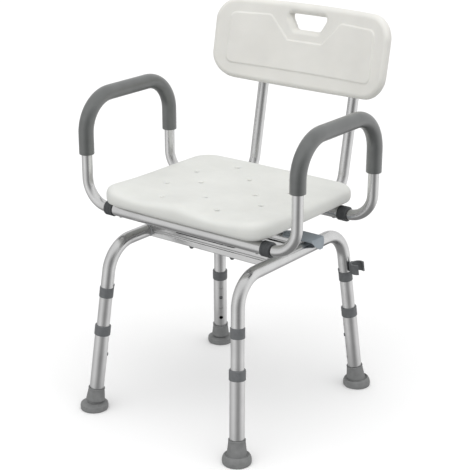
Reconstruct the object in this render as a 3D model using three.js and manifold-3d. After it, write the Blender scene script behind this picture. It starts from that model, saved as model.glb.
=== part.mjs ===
// Swivel bath seat. Millimetres, +X to the viewer's right, +Y to the back, +Z up, floor at zero.
// The drawing's own zero is the swivel axis. The whole group is moved at the end so that the
// row's origin is the middle of the outline on the floor.
import * as THREE from "three";
import { mergeVertices } from "three/addons/utils/BufferGeometryUtils.js";
import Module from "manifold-3d";

const wasm = await Module();
wasm.setup();

// General
const MM = 1;
const GAP = 0.3; // air between two pieces that touch
const OVER = 1; // how far a cutter runs past the face it cuts
const WELD = 0.001; // vertices closer than this are one
const SIDES = 12; // sides of a round tube
const PEG_SIDES = 8; // sides of buttons, pins and holes
const FOOT_SIDES = 16;
const RING_SIDES = 24; // sides of the swivel's rings
const BEND_STEPS = 5; // straight pieces in a tube bend
const FLAT = Math.PI / SIDES; // turns a tube so that a flat faces up, down and sideways
const PEG_FLAT = Math.PI / PEG_SIDES;

// Base frame: two bent tubes
const FRAME_TUBE_R = 12.7;
const FRAME_WALL = 1.6;
const FRAME_TOP_Z = 345.4;
const FRAME_TOP_X = 153.7;
const FRAME_TOP_Y = 169.65; // where leg and top bar lines meet
const LEG_LEAN_X = 0.077; // outward per unit of drop
const LEG_LEAN_Y = 0.107;
const FRAME_BEND_R = 60;
const FRAME_END_Z = 249;
const SLIDE_GAP = 0.4; // air between two tubes that slide
const FRAME_BORE_R = FRAME_TUBE_R - FRAME_WALL;

// Legs, heights measured straight up from the floor
const NECK_WALL = 1.4;
const NECK_LONG = 39; // goes this far up into the base tube
const NECK_TAPER = 3.2;
const NECK_R = FRAME_BORE_R - SLIDE_GAP; // middle tube where it goes into the base tube
const NECK_BORE_R = NECK_R - NECK_WALL;
const NECK_TOP_Z = FRAME_END_Z + NECK_LONG;
const NECK_HIGH_Z = FRAME_END_Z - GAP; // where the narrowing ends
const NECK_LOW_Z = NECK_HIGH_Z - NECK_TAPER;
const MIDDLE_END_Z = 78;
const LOWER_WALL = 1.2;
const LOWER_BORE_R = FRAME_TUBE_R + SLIDE_GAP;
const LOWER_TUBE_R = LOWER_BORE_R + LOWER_WALL;
const LOWER_TOP_Z = 176;
const LOWER_END_Z = 8;
const UPPER_COLLAR_THICK = 1.25; // from the tube's size to the collar's
const UPPER_COLLAR_HALF = 10;
const UPPER_COLLAR_R = FRAME_TUBE_R + UPPER_COLLAR_THICK;
const UPPER_COLLAR_LOW_Z = FRAME_END_Z - UPPER_COLLAR_HALF;
const UPPER_COLLAR_HIGH_Z = FRAME_END_Z + UPPER_COLLAR_HALF;
const LOWER_COLLAR_THICK = 1.6;
const LOWER_COLLAR_LAP = 16;
const LOWER_COLLAR_CAP = 4; // stands this far above the lower tube's end
const LOWER_COLLAR_R = LOWER_TUBE_R + LOWER_COLLAR_THICK;
const LOWER_COLLAR_LOW_Z = LOWER_TOP_Z - LOWER_COLLAR_LAP;
const LOWER_COLLAR_HIGH_Z = LOWER_TOP_Z + LOWER_COLLAR_CAP;
const COLLAR_BEVEL = 1;
const HOLE_PITCH = 25.4;
const HOLE_BUTTON_Z = 118; // the hole that holds the button
const HOLES_ABOVE = 1;
const HOLES_BELOW = 2;
const UPPER_BUTTON_RISE = 14;
const UPPER_BUTTON_Z = FRAME_END_Z + UPPER_BUTTON_RISE;

// Snap buttons with their leaf springs
const BUTTON_R = 3.7;
const BUTTON_HOLE_R = BUTTON_R + SLIDE_GAP;
const BUTTON_PROUD = 2; // above the flat of the outer tube
const BUTTON_ROUND = 0.9;
const LEAF_THICK = 0.9;
const LEAF_WIDE = 6.5;
const LEAF_ROOM = 0.9; // leaf's outer face to the tube's wall
const LEAF_LONG = 26; // button to the top of the hairpin
const LEAF_TAIL = 6;
const LEAF_NOSE = 2.2; // half width of the hairpin's top
const LEAF_SHOULDER = 5;

// Feet: a sleeve round the lower tube and a flared base
const FOOT_TOP_Z = 45.7;
const FOOT_SLEEVE_TOP_WALL = 2;
const FOOT_SLEEVE_LOW_WALL = 4.9;
const FOOT_SLEEVE_TOP_R = LOWER_TUBE_R + FOOT_SLEEVE_TOP_WALL;
const FOOT_SLEEVE_LOW_R = LOWER_TUBE_R + FOOT_SLEEVE_LOW_WALL;
const FOOT_BEAD = 3.1;
const FOOT_BEAD_Z = FOOT_TOP_Z - FOOT_BEAD;
const FOOT_CREASE_Z = 14.5;
const FOOT_RIM_RISE = 2.5; // above the crease
const FOOT_RIM_Z = FOOT_CREASE_Z + FOOT_RIM_RISE;
const FOOT_DISH = 3; // from the sleeve out to the rim
const FOOT_RIM_WIDE = 2.8;
const FOOT_RIM_DROP = 1.1;
const FOOT_RIM_INNER_R = FOOT_SLEEVE_LOW_R + FOOT_DISH;
const FOOT_RIM_OUTER_R = FOOT_RIM_INNER_R + FOOT_RIM_WIDE;
const FOOT_FLARE = 3; // from the rim out to the bulge
const FOOT_BULGE_Z = 7;
const FOOT_BULGE_R = FOOT_RIM_OUTER_R + FOOT_FLARE;
const FOOT_SHOULDER_DROP = 2.1; // under the crease
const FOOT_SHOULDER_IN = 0.8;
const FOOT_SHOULDER_Z = FOOT_CREASE_Z - FOOT_SHOULDER_DROP;
const FOOT_SHOULDER_R = FOOT_BULGE_R - FOOT_SHOULDER_IN;
const FOOT_BASE_IN = 0.6;
const FOOT_BASE_R = FOOT_BULGE_R - FOOT_BASE_IN;
const FOOT_FLOOR_GAP = 0.4; // from the rubber's floor to the tube's end
const FOOT_FLOOR_Z = LOWER_END_Z - FOOT_FLOOR_GAP;

// Crossbars
const BAR_Y = 51.5;
const BAR_DEEP = 27;
const BAR_TALL = 25;
const BAR_RISE = 15.1; // top of the bar above the base tubes' line
const BAR_HIGH_Z = FRAME_TOP_Z + BAR_RISE;
const BAR_LOW_Z = BAR_HIGH_Z - BAR_TALL;
const BAR_WALL = 2;
const BAR_BEVEL = 1.5;
const BAR_GROOVE_WIDE = 5.5;
const BAR_GROOVE_DEEP = 1.6;
const BAR_GROOVE_DROP = 11.5;
const BAR_GROOVE_Z = BAR_HIGH_Z - BAR_GROOVE_DROP;

// Swivel bearing
const PLATE_HALF = 74.5;
const PLATE_THICK = 2.5;
const PLATE_AIR = 2.6; // between the plates, where the balls run
const PLATE_CORNER_R = 8;
const PLATE_CORNER_STEPS = 3;
const LOWER_PLATE_Z = BAR_HIGH_Z + GAP;
const UPPER_PLATE_Z = LOWER_PLATE_Z + PLATE_THICK + PLATE_AIR;
const HUB_R = 33.5;
const HUB_WALL = 2.5;
const HUB_AIR = 0.7;
const HUB_LIP = 3.7;
const HUB_BORE_R = HUB_R - HUB_WALL;
const HUB_HOLE_R = HUB_R + HUB_AIR;
const HUB_LIP_R = HUB_R + HUB_LIP;
const HUB_LIP_THICK = 1.4;
const HUB_LIP_DROP = 0.5; // lip's top under the lower plate
const GROOVE_MIDDLE_R = 55;
const GROOVE_HALF = 3.1;
const GROOVE_FLOOR_HALF = 1.6;
const GROOVE_DEEP = 1.2;
const BALL_AIR = 0.3; // from a ball to each groove's floor
const BALL_R = PLATE_AIR / 2 + GROOVE_DEEP - BALL_AIR;
const BALL_COUNT = 12;
const BALL_SIDES = 6;
const CAGE_HALF_WIDE = 4.2;
const CAGE_HALF_THICK = 0.5;
const NOTCH_DEEP = 12.5; // in from the plate's edge
const NOTCH_CORNER = 18.5; // from the plate's corner to the notch's middle
const NOTCH_HALF = 7;
const NOTCH_COUNT = 4;
const NOTCH_IN = PLATE_HALF - NOTCH_DEEP;
const NOTCH_Y = PLATE_HALF - NOTCH_CORNER;

// Lock lever: a folded channel on a cross pin through the rear crossbar
const LEVER_SHEET = 2.2;
const LEVER_FLANGE = 5.4;
const LEVER_AIR = 4.5; // over the crossbar
const LEVER_FRONT_AIR = 4; // from the crossbar's faces to the lever's
const LEVER_REAR_AIR = 13;
const LEVER_TOP_Z = BAR_HIGH_Z + LEVER_AIR + LEVER_SHEET;
const LEVER_FRONT_Y = BAR_Y - BAR_DEEP / 2 - LEVER_FRONT_AIR;
const LEVER_REAR_Y = BAR_Y + BAR_DEEP / 2 + LEVER_REAR_AIR;
const TAB_THICK = 2.6;
const TAB_AIR = 7; // from the base tube to the thumb tab
const LEVER_OUT_X = FRAME_TOP_X + FRAME_TUBE_R + TAB_AIR + TAB_THICK;
const TAB_DROP = 4.4; // tip under the base tube's line
const TAB_TIP_Z = FRAME_TOP_Z - TAB_DROP;
const TAB_TIP_IN = 5;
const TAB_TIP_WIDE = 10;
const TAB_TIP_REAR_Y = LEVER_REAR_Y - TAB_TIP_IN;
const TAB_TIP_FRONT_Y = TAB_TIP_REAR_Y - TAB_TIP_WIDE;
const TAB_REAR_DROP = 12.2;
const TAB_REAR_Z = LEVER_TOP_Z - TAB_REAR_DROP;
const LEVER_PIN_IN = 25.7; // from the base tube's line
const LEVER_PIN_DROP = 6.5; // under the crossbar's top
const LEVER_PIN_X = FRAME_TOP_X - LEVER_PIN_IN;
const LEVER_PIN_Z = BAR_HIGH_Z - LEVER_PIN_DROP;
const LEVER_PIN_R = 2.5;
const LEVER_PIN_HEAD_R = 4.5;
const LEVER_PIN_HEAD = 1.6;
const LEVER_PIN_HOLE_R = LEVER_PIN_R + SLIDE_GAP;
const LEVER_INNER = 22; // from the pin to the channel's inner end
const LEVER_IN_X = LEVER_PIN_X - LEVER_INNER;
const EAR_HALF = 6;
const EAR_DROP = 5;
const EAR_LOW_Z = LEVER_PIN_Z - EAR_DROP;
const TONGUE_REACH = 9; // in from the plate's edge
const TONGUE_HALF = 5;
const TONGUE_THICK = 2.3;
const TONGUE_AIR = 0.6; // under the upper plate while the swivel is free
const TONGUE_JOGGLE = 14;
const TONGUE_TIP_X = PLATE_HALF - TONGUE_REACH;
const TONGUE_HIGH_Z = UPPER_PLATE_Z - TONGUE_AIR;
const TONGUE_LOW_Z = TONGUE_HIGH_Z - TONGUE_THICK;
const TONGUE_STEP_X = LEVER_IN_X - TONGUE_JOGGLE; // inner end of the joggle
const LOWER_CUT_DEEP = 15.5; // room for the tongue in the lower plate
const LOWER_CUT_HALF = 8;
const LOWER_CUT_X = PLATE_HALF - LOWER_CUT_DEEP;

// Seat tubes and arms. The seat tubes end flush with the seat's sides.
const SEAT_HALF_X = 194;
const SEAT_TUBE_FRONT_Y = -127;
const SEAT_TUBE_REAR_Y = 124;
const SEAT_TUBE_R = 12.7;
const SEAT_TUBE_WALL = 1.6;
const SEAT_TUBE_BORE_R = SEAT_TUBE_R - SEAT_TUBE_WALL;

// Rails
const RAIL_X = 60;
const RAIL_HALF = 13;
const RAIL_TALL = 20.1;
const RAIL_OVERHANG = 1; // past the seat tubes' lines
const RAIL_SWEEP = 42; // the swept-up ends
const RAIL_TIP = 1.5;
const RAIL_SHEET = 2;
const RAIL_FRONT_Y = SEAT_TUBE_FRONT_Y - RAIL_OVERHANG;
const RAIL_REAR_Y = SEAT_TUBE_REAR_Y + RAIL_OVERHANG;
const RAIL_LOW_Z = UPPER_PLATE_Z + PLATE_THICK + GAP;
const RAIL_HIGH_Z = RAIL_LOW_Z + RAIL_TALL;
const SEAT_TUBE_Z = RAIL_HIGH_Z + SEAT_TUBE_R;

const ARM_PLUG_GAP = 0.6; // air round the arm's end in the seat tube
const ARM_WALL = 1.5;
const ARM_TUBE_R = SEAT_TUBE_BORE_R - ARM_PLUG_GAP;
const ARM_BORE_R = ARM_TUBE_R - ARM_WALL;
const ARM_REACH = 56.8; // from the seat's side out to the arm's line
const ARM_X = SEAT_HALF_X + ARM_REACH;
const ARM_TOP_Z = 611;
const ARM_LOW_BEND_R = 51.5;
const ARM_TOP_BEND_R = 70;
const ARM_PLUG_LONG = 76;
const ARM_PLUG_X = SEAT_HALF_X - ARM_PLUG_LONG;
const ARM_BUTTON_IN = 29; // from the seat tube's end
const ARM_BUTTON_X = SEAT_HALF_X - ARM_BUTTON_IN;
const ARM_COLLAR_THICK = 1.9;
const ARM_COLLAR_LAP = 15;
const ARM_COLLAR_CAP = 5; // stands this far past the seat tube's end
const ARM_COLLAR_R = SEAT_TUBE_R + ARM_COLLAR_THICK;
const ARM_COLLAR_IN_X = SEAT_HALF_X - ARM_COLLAR_LAP;
const ARM_COLLAR_OUT_X = SEAT_HALF_X + ARM_COLLAR_CAP;
const GRIP_THICK = 4.5;
const GRIP_R = ARM_TUBE_R + GRIP_THICK;
const GRIP_FRONT_LEFT_DROP = 110.4; // the grips' ends under the arm's top
const GRIP_FRONT_RIGHT_DROP = 93;
const GRIP_REAR_LEFT_DROP = 113.4;
const GRIP_REAR_RIGHT_DROP = 114.7;

// Back posts and their sockets
const POST_X = 111;
const POST_PLUG_GAP = 0.35;
const POST_WALL = 1.5;
const POST_R = SEAT_TUBE_BORE_R - POST_PLUG_GAP;
const POST_BORE_R = POST_R - POST_WALL;
const POST_LEAN = 0.185;
const POST_LINE_Y = 250; // where the post's line is at the height below
const POST_LINE_Z = 500;
const POST_BEND_R = 45;
const POST_PLUG_STEP = 17; // from the rear seat tube's line to the post's end
const POST_PLUG_Y = SEAT_TUBE_REAR_Y + POST_PLUG_STEP;
const POST_BUTTON_STEP = 44;
const POST_BUTTON_Y = SEAT_TUBE_REAR_Y + POST_BUTTON_STEP;
const POST_TOP_DROP = 29; // the post's top under the panel's, along the panel
const SOCKET_LONG = 61;
const SOCKET_REAR_Y = SEAT_TUBE_REAR_Y + SOCKET_LONG;

// Backrest panel: x across, v up along the lean, n back through the thickness
const PANEL_Y = 256;
const PANEL_Z = 637;
const PANEL_HALF = 208;
const PANEL_LOW_V = -43;
const PANEL_HIGH_V = 128;
const PANEL_BULGE = 5;
const PANEL_CORNER_R = 50;
const PANEL_HALF_THICK = 12.5;
const PANEL_BEND_R = 620;
const PANEL_WALL = 3;
const PANEL_EDGE = 11; // reach of the rounded edge
const POST_TOP_V = PANEL_HIGH_V - POST_TOP_DROP;
const HAND_HOLE_DROP = 22; // under the panel's top
const HAND_HOLE_TALL = 31;
const HAND_HOLE_HIGH_V = PANEL_HIGH_V - HAND_HOLE_DROP;
const HAND_HOLE_LOW_V = HAND_HOLE_HIGH_V - HAND_HOLE_TALL;
const HAND_HOLE_TOP_HALF = 47;
const HAND_HOLE_LOW_HALF = 28.5;
const HAND_HOLE_ROUND = 8;
const HAND_HOLE_LIP = 3.5; // wall around the hand hole
const FIELD_RISE = 1.6; // the raised middle of the panel's front
const FIELD_TOP_DROP = 33; // its corners' heights from the panel's top and bottom
const FIELD_INNER_DROP = 28.5;
const FIELD_NOTCH_DROP = 75;
const FIELD_LOW_RISE = 33;
const FIELD_TOP_SIDE = 34; // from the panel's sides
const FIELD_LOW_SIDE = 32;
const FIELD_INNER_OUT = 37; // from the hand hole's top corner
const FIELD_NOTCH_OUT = 12; // from its low corner
const FIELD_TOP_V = PANEL_HIGH_V - FIELD_TOP_DROP;
const FIELD_INNER_V = PANEL_HIGH_V - FIELD_INNER_DROP;
const FIELD_NOTCH_V = PANEL_HIGH_V - FIELD_NOTCH_DROP;
const FIELD_LOW_V = PANEL_LOW_V + FIELD_LOW_RISE;
const FIELD_TOP_HALF = PANEL_HALF - FIELD_TOP_SIDE;
const FIELD_LOW_HALF = PANEL_HALF - FIELD_LOW_SIDE;
const FIELD_INNER_HALF = HAND_HOLE_TOP_HALF + FIELD_INNER_OUT;
const FIELD_NOTCH_HALF = HAND_HOLE_LOW_HALF + FIELD_NOTCH_OUT;
const PAD_HALF_X = 15;
const PAD_TALL = 30;
const PAD_LOW_RISE = 20; // from the panel's low edge
const PAD_HIGH_DROP = 66; // from its top edge
const PAD_LOW_V = PANEL_LOW_V + PAD_LOW_RISE;
const PAD_HIGH_V = PANEL_HIGH_V - PAD_HIGH_DROP;
const PAD_WRAP = 5; // how far the saddle reaches round the post

// Seat
const SEAT_FRONT_Y = -167;
const SEAT_REAR_Y = 173.5;
const SEAT_CORNER_R = 46;
const SEAT_EDGE_BULGE = 4;
const SEAT_THICK = 35.8;
const SEAT_TUCK = 8.8; // from the underside up to the edge's low side
const SEAT_UNDER_Z = SEAT_TUBE_Z + SEAT_TUBE_R;
const SEAT_TOP_Z = SEAT_UNDER_Z + SEAT_THICK;
const SEAT_EDGE_LOW_Z = SEAT_UNDER_Z + SEAT_TUCK;
const SEAT_RIM_REACH = 40;
const SEAT_DISH = 4;
const SEAT_THIGH = 4; // rise and fall of the front edge
const SEAT_THIGH_PITCH = 180;
const SEAT_THIGH_FULL = 17; // from the front edge to where the wave is full
const SEAT_THIGH_FADE = 100; // and from there to where it has gone
const SEAT_THIGH_FULL_Y = SEAT_FRONT_Y + SEAT_THIGH_FULL;
const SEAT_THIGH_FROM_Y = SEAT_THIGH_FULL_Y + SEAT_THIGH_FADE;
const DRAIN_R = 4.6;
const DRAIN_WALL = 2.2;
const DRAIN_OUTER_X = 115.1;
const DRAIN_OUTER_Y = 47.2;
const DRAIN_CORNER_X = 65.6;
const DRAIN_CORNER_Y = 117.4;
const DRAIN_SIDE_X = 66.4;
const DRAIN_MIDDLE_Y = 69.5;
const BLOW_HOLE_R = 4; // left by the blow pin on the underside
const BLOW_HOLE_X = 30;

// Hose clip on the back right leg
const CLIP_RISE = 2.6; // above the base tube's end
const CLIP_TALL = 25.4;
const CLIP_LOW_Z = FRAME_END_Z + CLIP_RISE;
const CLIP_HIGH_Z = CLIP_LOW_Z + CLIP_TALL;
const CLIP_STEP_GAP = 0.6;
const CLIP_STEP_Z = UPPER_COLLAR_HIGH_Z + CLIP_STEP_GAP; // the bore is wider below this, over the collar
const CLIP_COLLAR_GAP = 0.45;
const CLIP_WALL = 2.4;
const CLIP_WIDE_R = UPPER_COLLAR_R + CLIP_COLLAR_GAP;
const CLIP_R = CLIP_WIDE_R + CLIP_WALL;
const CLIP_JAW_OUT = 14.2; // from the clip's sleeve to the jaw's middle
const CLIP_JAW_X = CLIP_R + CLIP_JAW_OUT;
const CLIP_JAW_R = 14;
const CLIP_JAW_WALL = 3.2;
const CLIP_JAW_BORE_R = CLIP_JAW_R - CLIP_JAW_WALL;
const CLIP_JAW_MOUTH = 100;
const CLIP_JAW_STEP = 8.4; // jaw's low side above the sleeve's
const CLIP_JAW_RISE = 3; // its high side above the sleeve's
const CLIP_JAW_LOW_Z = CLIP_LOW_Z + CLIP_JAW_STEP;
const CLIP_JAW_HIGH_Z = CLIP_HIGH_Z + CLIP_JAW_RISE;
const CLIP_WEB_HALF = 5;
const CLIP_MOUTH_HALF = 7;
const CLIP_STEPS = 10;

// Ring shares of the seat's section: [share of the rim's reach, share of the rise above the low
// edge, or of the fall below it]
const seat_rim_shares = [
  [1, -1], [0.6, -1], [0.18, -0.16], [0.04, 0.04], [0, 0.24], [0, 0.5],
  [0.05, 0.74], [0.18, 0.9], [0.4, 0.985], [0.85, 1], [1.85, 1], [3.05, 1],
];
const seat_cavity_shares = [
  [1, -0.66], [0.55, -0.66], [0.22, 0.02], [0.1, 0.2], [0.12, 0.66],
  [0.3, 0.82], [0.85, 0.87], [1.85, 0.87], [3.05, 0.87],
];
// Ring shares of the panel's edge: [share of the edge's reach, share of the half thickness]
const panel_edge_shares = [[1, -1], [0.5, -0.93], [0.15, -0.68], [0, -0.3], [0, 0.3], [0.15, 0.68], [0.5, 0.93], [1, 1]];
const corner_shares = [0, 0.28, 0.52, 0.76, 1];
const middle_shares = [-1, -0.66, -0.33, 0, 0.33, 0.66, 1];

const up = new THREE.Vector3(0, 0, MM);
const V = (x, y, z) => new THREE.Vector3(x, y, z);
const root = new THREE.Group();

function material(color, metalness, roughness) {
  return () => new THREE.MeshStandardMaterial({ color, metalness, roughness });
}
const aluminium = material(0xc9ccce, 0.9, 0.35);
const steel = material(0x8b939b, 0.8, 0.4);
const blackSteel = material(0x26282a, 0.6, 0.5);
const shellPlastic = material(0xe2e3de, 0, 0.5);
const collarPlastic = material(0x5f6062, 0, 0.6);
const foam = material(0x6b6e6c, 0, 0.9);
const rubber = material(0x6a6a6a, 0, 0.85);
const brightSteel = material(0xb4b7ba, 0.9, 0.3);

// A three.js geometry as a solid that can be joined and cut.
function solid(geometry, frame) {
  if (frame) geometry.applyMatrix4(frame);
  geometry.deleteAttribute("normal");
  geometry.deleteAttribute("uv");
  const merged = mergeVertices(geometry, WELD);
  const kept = [];
  const index = merged.index.array;
  for (let i = 0; i < index.length; i += 3) {
    const [a, b, c] = [index[i], index[i + 1], index[i + 2]];
    if (a !== b && b !== c && c !== a) kept.push(a, b, c);
  }
  return new wasm.Manifold(
    new wasm.Mesh({
      numProp: 3,
      vertProperties: merged.attributes.position.array,
      triVerts: new Uint32Array(kept),
    }),
  );
}

function add(name, made, look) {
  const mesh = made.getMesh();
  const geometry = new THREE.BufferGeometry();
  geometry.setAttribute("position", new THREE.BufferAttribute(mesh.vertProperties, 3));
  geometry.setIndex(new THREE.BufferAttribute(mesh.triVerts, 1));
  geometry.computeVertexNormals();
  const piece = new THREE.Mesh(geometry, look());
  piece.name = name;
  root.add(piece);
}

const joined = (pieces) => pieces.reduce((all, one) => all.add(one));
const without = (body, cutters) => cutters.reduce((left, one) => left.subtract(one), body);

// A route for a tube: stations with a position and a direction, bends taken as arcs.
class Route extends THREE.Curve {
  constructor(stations, side) {
    super();
    this.stations = stations;
    this.side = side;
  }
  getSpacedPoints() {
    return this.stations.map((s) => s.at);
  }
  computeFrenetFrames() {
    const tangents = this.stations.map((s) => s.along);
    const normals = [this.side.clone()];
    for (let i = 1; i < tangents.length; i++) {
      const turn = new THREE.Quaternion().setFromUnitVectors(tangents[i - 1], tangents[i]);
      normals.push(normals[i - 1].clone().applyQuaternion(turn));
    }
    const binormals = normals.map((n, i) => tangents[i].clone().cross(n));
    return { tangents, normals, binormals };
  }
}

function bent(corners, rounds, steps) {
  const stations = [];
  const last = corners.length - 1;
  const toward = (i) => corners[i + 1].clone().sub(corners[i]).normalize();
  stations.push({ at: corners[0], along: toward(0) });
  for (let i = 1; i < last; i++) {
    const [a, b] = [toward(i - 1), toward(i)];
    const turn = a.angleTo(b);
    const radius = rounds[i - 1];
    const inward = b.clone().addScaledVector(a, -a.dot(b)).normalize();
    const start = corners[i].clone().addScaledVector(a, -radius * Math.tan(turn / 2));
    for (let k = 0; k <= steps; k++) {
      const angle = (turn * k) / steps;
      const at = start
        .clone()
        .addScaledVector(a, radius * Math.sin(angle))
        .addScaledVector(inward, radius * (1 - Math.cos(angle)));
      const along = a.clone().multiplyScalar(Math.cos(angle)).addScaledVector(inward, Math.sin(angle));
      stations.push({ at, along });
    }
  }
  stations.push({ at: corners[last], along: toward(last - 1) });
  return stations;
}

function circle(radius, sides, phase) {
  const points = [];
  for (let i = 0; i < sides; i++) {
    const angle = phase + (2 * Math.PI * i) / sides;
    points.push(new THREE.Vector2(radius * Math.cos(angle), radius * Math.sin(angle)));
  }
  return new THREE.Shape(points);
}

function rod(stations, side, radius, phase) {
  const route = new Route(stations, side);
  const options = { steps: stations.length - 1, extrudePath: route };
  return solid(new THREE.ExtrudeGeometry(circle(radius, SIDES, phase), options));
}

// The bore's route is the tube's, with both ends let out.
function longer(stations) {
  const list = stations.map((s) => ({ at: s.at.clone(), along: s.along }));
  const [first, final] = [list[0], list[list.length - 1]];
  first.at.addScaledVector(first.along, -OVER);
  final.at.addScaledVector(final.along, OVER);
  return list;
}

function pipe(stations, side, radius, bore, phase) {
  return rod(stations, side, radius, phase).subtract(rod(longer(stations), side, bore, phase));
}

// A closed profile of [radius, height] pairs turned about the frame's Z.
function turned(profile, sides, frame, phase = 0) {
  const points = profile.map(([r, z]) => new THREE.Vector2(r, z));
  const area = points.reduce((sum, p, i) => sum + p.cross(points[(i + 1) % points.length]), 0);
  if (area > 0) points.reverse();
  points.push(points[0]);
  const geometry = new THREE.LatheGeometry(points, sides, phase);
  geometry.rotateX(Math.PI / 2);
  const index = geometry.index.array;
  for (let i = 0; i < index.length; i += 3) [index[i], index[i + 1]] = [index[i + 1], index[i]];
  const made = solid(geometry, frame);
  if (made.volume() > 0) return made;
  throw new Error("a turned profile runs the wrong way round");
}

function box(x0, x1, y0, y1, z0, z1, frame) {
  const geometry = new THREE.BoxGeometry(x1 - x0, y1 - y0, z1 - z0);
  geometry.translate((x0 + x1) / 2, (y0 + y1) / 2, (z0 + z1) / 2);
  return solid(geometry, frame);
}

// An outline in the frame's X and Y, raised from one height to another.
function slab(points, low, high, frame, holes = []) {
  const shape = new THREE.Shape(points.map(([x, y]) => new THREE.Vector2(x, y)));
  holes.forEach((hole) => shape.holes.push(hole));
  const geometry = new THREE.ExtrudeGeometry(shape, { depth: high - low, bevelEnabled: false });
  geometry.translate(0, 0, low);
  return solid(geometry, frame);
}

// A round peg that points along the frame's X, turned about Z by an angle, at a height.
function peg(radius, from, to, angle, height, frame, sides = PEG_SIDES) {
  const geometry = new THREE.CylinderGeometry(radius, radius, to - from, sides);
  geometry.rotateY(Math.PI / sides);
  geometry.rotateZ(-Math.PI / 2);
  geometry.translate((from + to) / 2, 0, 0);
  geometry.rotateZ(angle);
  geometry.translate(0, 0, height);
  return solid(geometry, frame);
}

// Rings of equal length, joined into a closed body. Both ends are closed by strips that run
// across the ring, from its first half to its second.
function loft(rings) {
  const count = rings[0].length;
  const positions = rings.flat().flatMap((p) => [p.x, p.y, p.z]);
  const index = [];
  for (let r = 0; r + 1 < rings.length; r++) {
    for (let i = 0; i < count; i++) {
      const j = (i + 1) % count;
      const [a, b, c, d] = [r * count + i, r * count + j, (r + 1) * count + j, (r + 1) * count + i];
      index.push(a, b, c, a, c, d);
    }
  }
  const lastRing = (rings.length - 1) * count;
  for (let i = 0; i < count / 2 - 1; i++) {
    const [a, b, c, d] = [i, i + 1, count - 2 - i, count - 1 - i];
    index.push(a, c, b, a, d, c);
    index.push(lastRing + a, lastRing + b, lastRing + c, lastRing + a, lastRing + c, lastRing + d);
  }
  // A ring order that is left-handed would turn the body inside out
  const [p, q, r] = [rings[0], rings[rings.length - 1], count / 2];
  const spread = p[r - 1].clone().sub(p[0]).cross(p[count - 1].clone().sub(p[0]));
  if (spread.dot(q[0].clone().sub(p[0]).add(q[r].clone().sub(p[r]))) < 0) index.reverse();
  const geometry = new THREE.BufferGeometry();
  geometry.setAttribute("position", new THREE.Float32BufferAttribute(positions, 3));
  geometry.setIndex(index);
  return solid(geometry);
}

// A rounded rectangle with bulged long edges. The low edge comes first, left to right, then the
// high edge back, at the same places across.
function outline(half, low, high, round, bulge, inset) {
  const [w, r] = [half - inset, Math.max(round - inset, OVER)];
  const flat = w - r;
  const corner = (share) => (share * Math.PI) / 2;
  const across = [];
  corner_shares.slice(1).reverse().forEach((s) => across.push([-flat - r * Math.sin(corner(s)), s]));
  middle_shares.forEach((s) => across.push([flat * s, 0]));
  corner_shares.slice(1).forEach((s) => across.push([flat + r * Math.sin(corner(s)), s]));
  const drop = ([x, s]) => r * (1 - Math.cos(corner(s))) + bulge * (x / half) ** 2;
  const lowEdge = across.map((p) => [p[0], low + inset + drop(p)]);
  const highEdge = across.map((p) => [p[0], high - inset - drop(p)]);
  return lowEdge.concat(highEdge.reverse());
}

// Legs: a frame for each, with Z up along the leg and X outward
const LEG_STRETCH = Math.hypot(1, LEG_LEAN_X, LEG_LEAN_Y);
const FOOT_X = FRAME_TOP_X + FRAME_TOP_Z * LEG_LEAN_X;
const FOOT_Y = FRAME_TOP_Y + FRAME_TOP_Z * LEG_LEAN_Y;
const along = (height) => height * LEG_STRETCH;

function legFrame(s, t) {
  const z = V(-s * LEG_LEAN_X, -t * LEG_LEAN_Y, 1).normalize();
  const x = V(s, 0, LEG_LEAN_X).normalize();
  const y = z.clone().cross(x);
  return new THREE.Matrix4().makeBasis(x, y, z).setPosition(s * FOOT_X, t * FOOT_Y, 0);
}
const onLeg = (s, t, height) => V(0, 0, along(height)).applyMatrix4(legFrame(s, t));
// The way in, halfway between inward and toward the other leg
const inward = (s, t) => Math.atan2(-t * s, -1);

const legs = [
  ["front_right", 1, -1],
  ["front_left", -1, -1],
  ["back_right", 1, 1],
  ["back_left", -1, 1],
];

const apothem = (radius) => radius * Math.cos(FLAT);

// A snap button and its hairpin leaf, in one piece. The tube runs along the frame's Z.
function snapButton(bore, outer, angle, height, frame) {
  const reach = apothem(bore) - LEAF_ROOM;
  const tip = apothem(outer) + BUTTON_PROUD;
  const inside = reach - LEAF_THICK;
  const noseIn = LEAF_NOSE - LEAF_THICK;
  const leaf = [
    [reach, -LEAF_TAIL],
    [reach, LEAF_SHOULDER],
    [LEAF_NOSE, LEAF_LONG],
    [-LEAF_NOSE, LEAF_LONG],
    [-reach, LEAF_SHOULDER],
    [-reach, -LEAF_TAIL],
    [-inside, -LEAF_TAIL],
    [-inside, LEAF_SHOULDER],
    [-noseIn, LEAF_LONG - LEAF_THICK],
    [noseIn, LEAF_LONG - LEAF_THICK],
    [inside, LEAF_SHOULDER],
    [inside, -LEAF_TAIL],
  ];
  const shape = new THREE.Shape(leaf.map(([x, z]) => new THREE.Vector2(x, z)));
  const strip = new THREE.ExtrudeGeometry(shape, { depth: LEAF_WIDE, bevelEnabled: false });
  strip.translate(0, 0, -LEAF_WIDE / 2);
  strip.rotateX(Math.PI / 2);
  strip.rotateZ(angle);
  strip.translate(0, 0, height);
  const head = new THREE.LatheGeometry(
    [
      new THREE.Vector2(0, reach - LEAF_THICK / 2),
      new THREE.Vector2(BUTTON_R, reach - LEAF_THICK / 2),
      new THREE.Vector2(BUTTON_R, tip - BUTTON_ROUND),
      new THREE.Vector2(BUTTON_R - BUTTON_ROUND, tip),
      new THREE.Vector2(0, tip),
    ],
    PEG_SIDES,
    PEG_FLAT,
  );
  head.rotateZ(-Math.PI / 2);
  head.rotateZ(angle);
  head.translate(0, 0, height);
  return solid(strip, frame).add(solid(head, frame));
}
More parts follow.
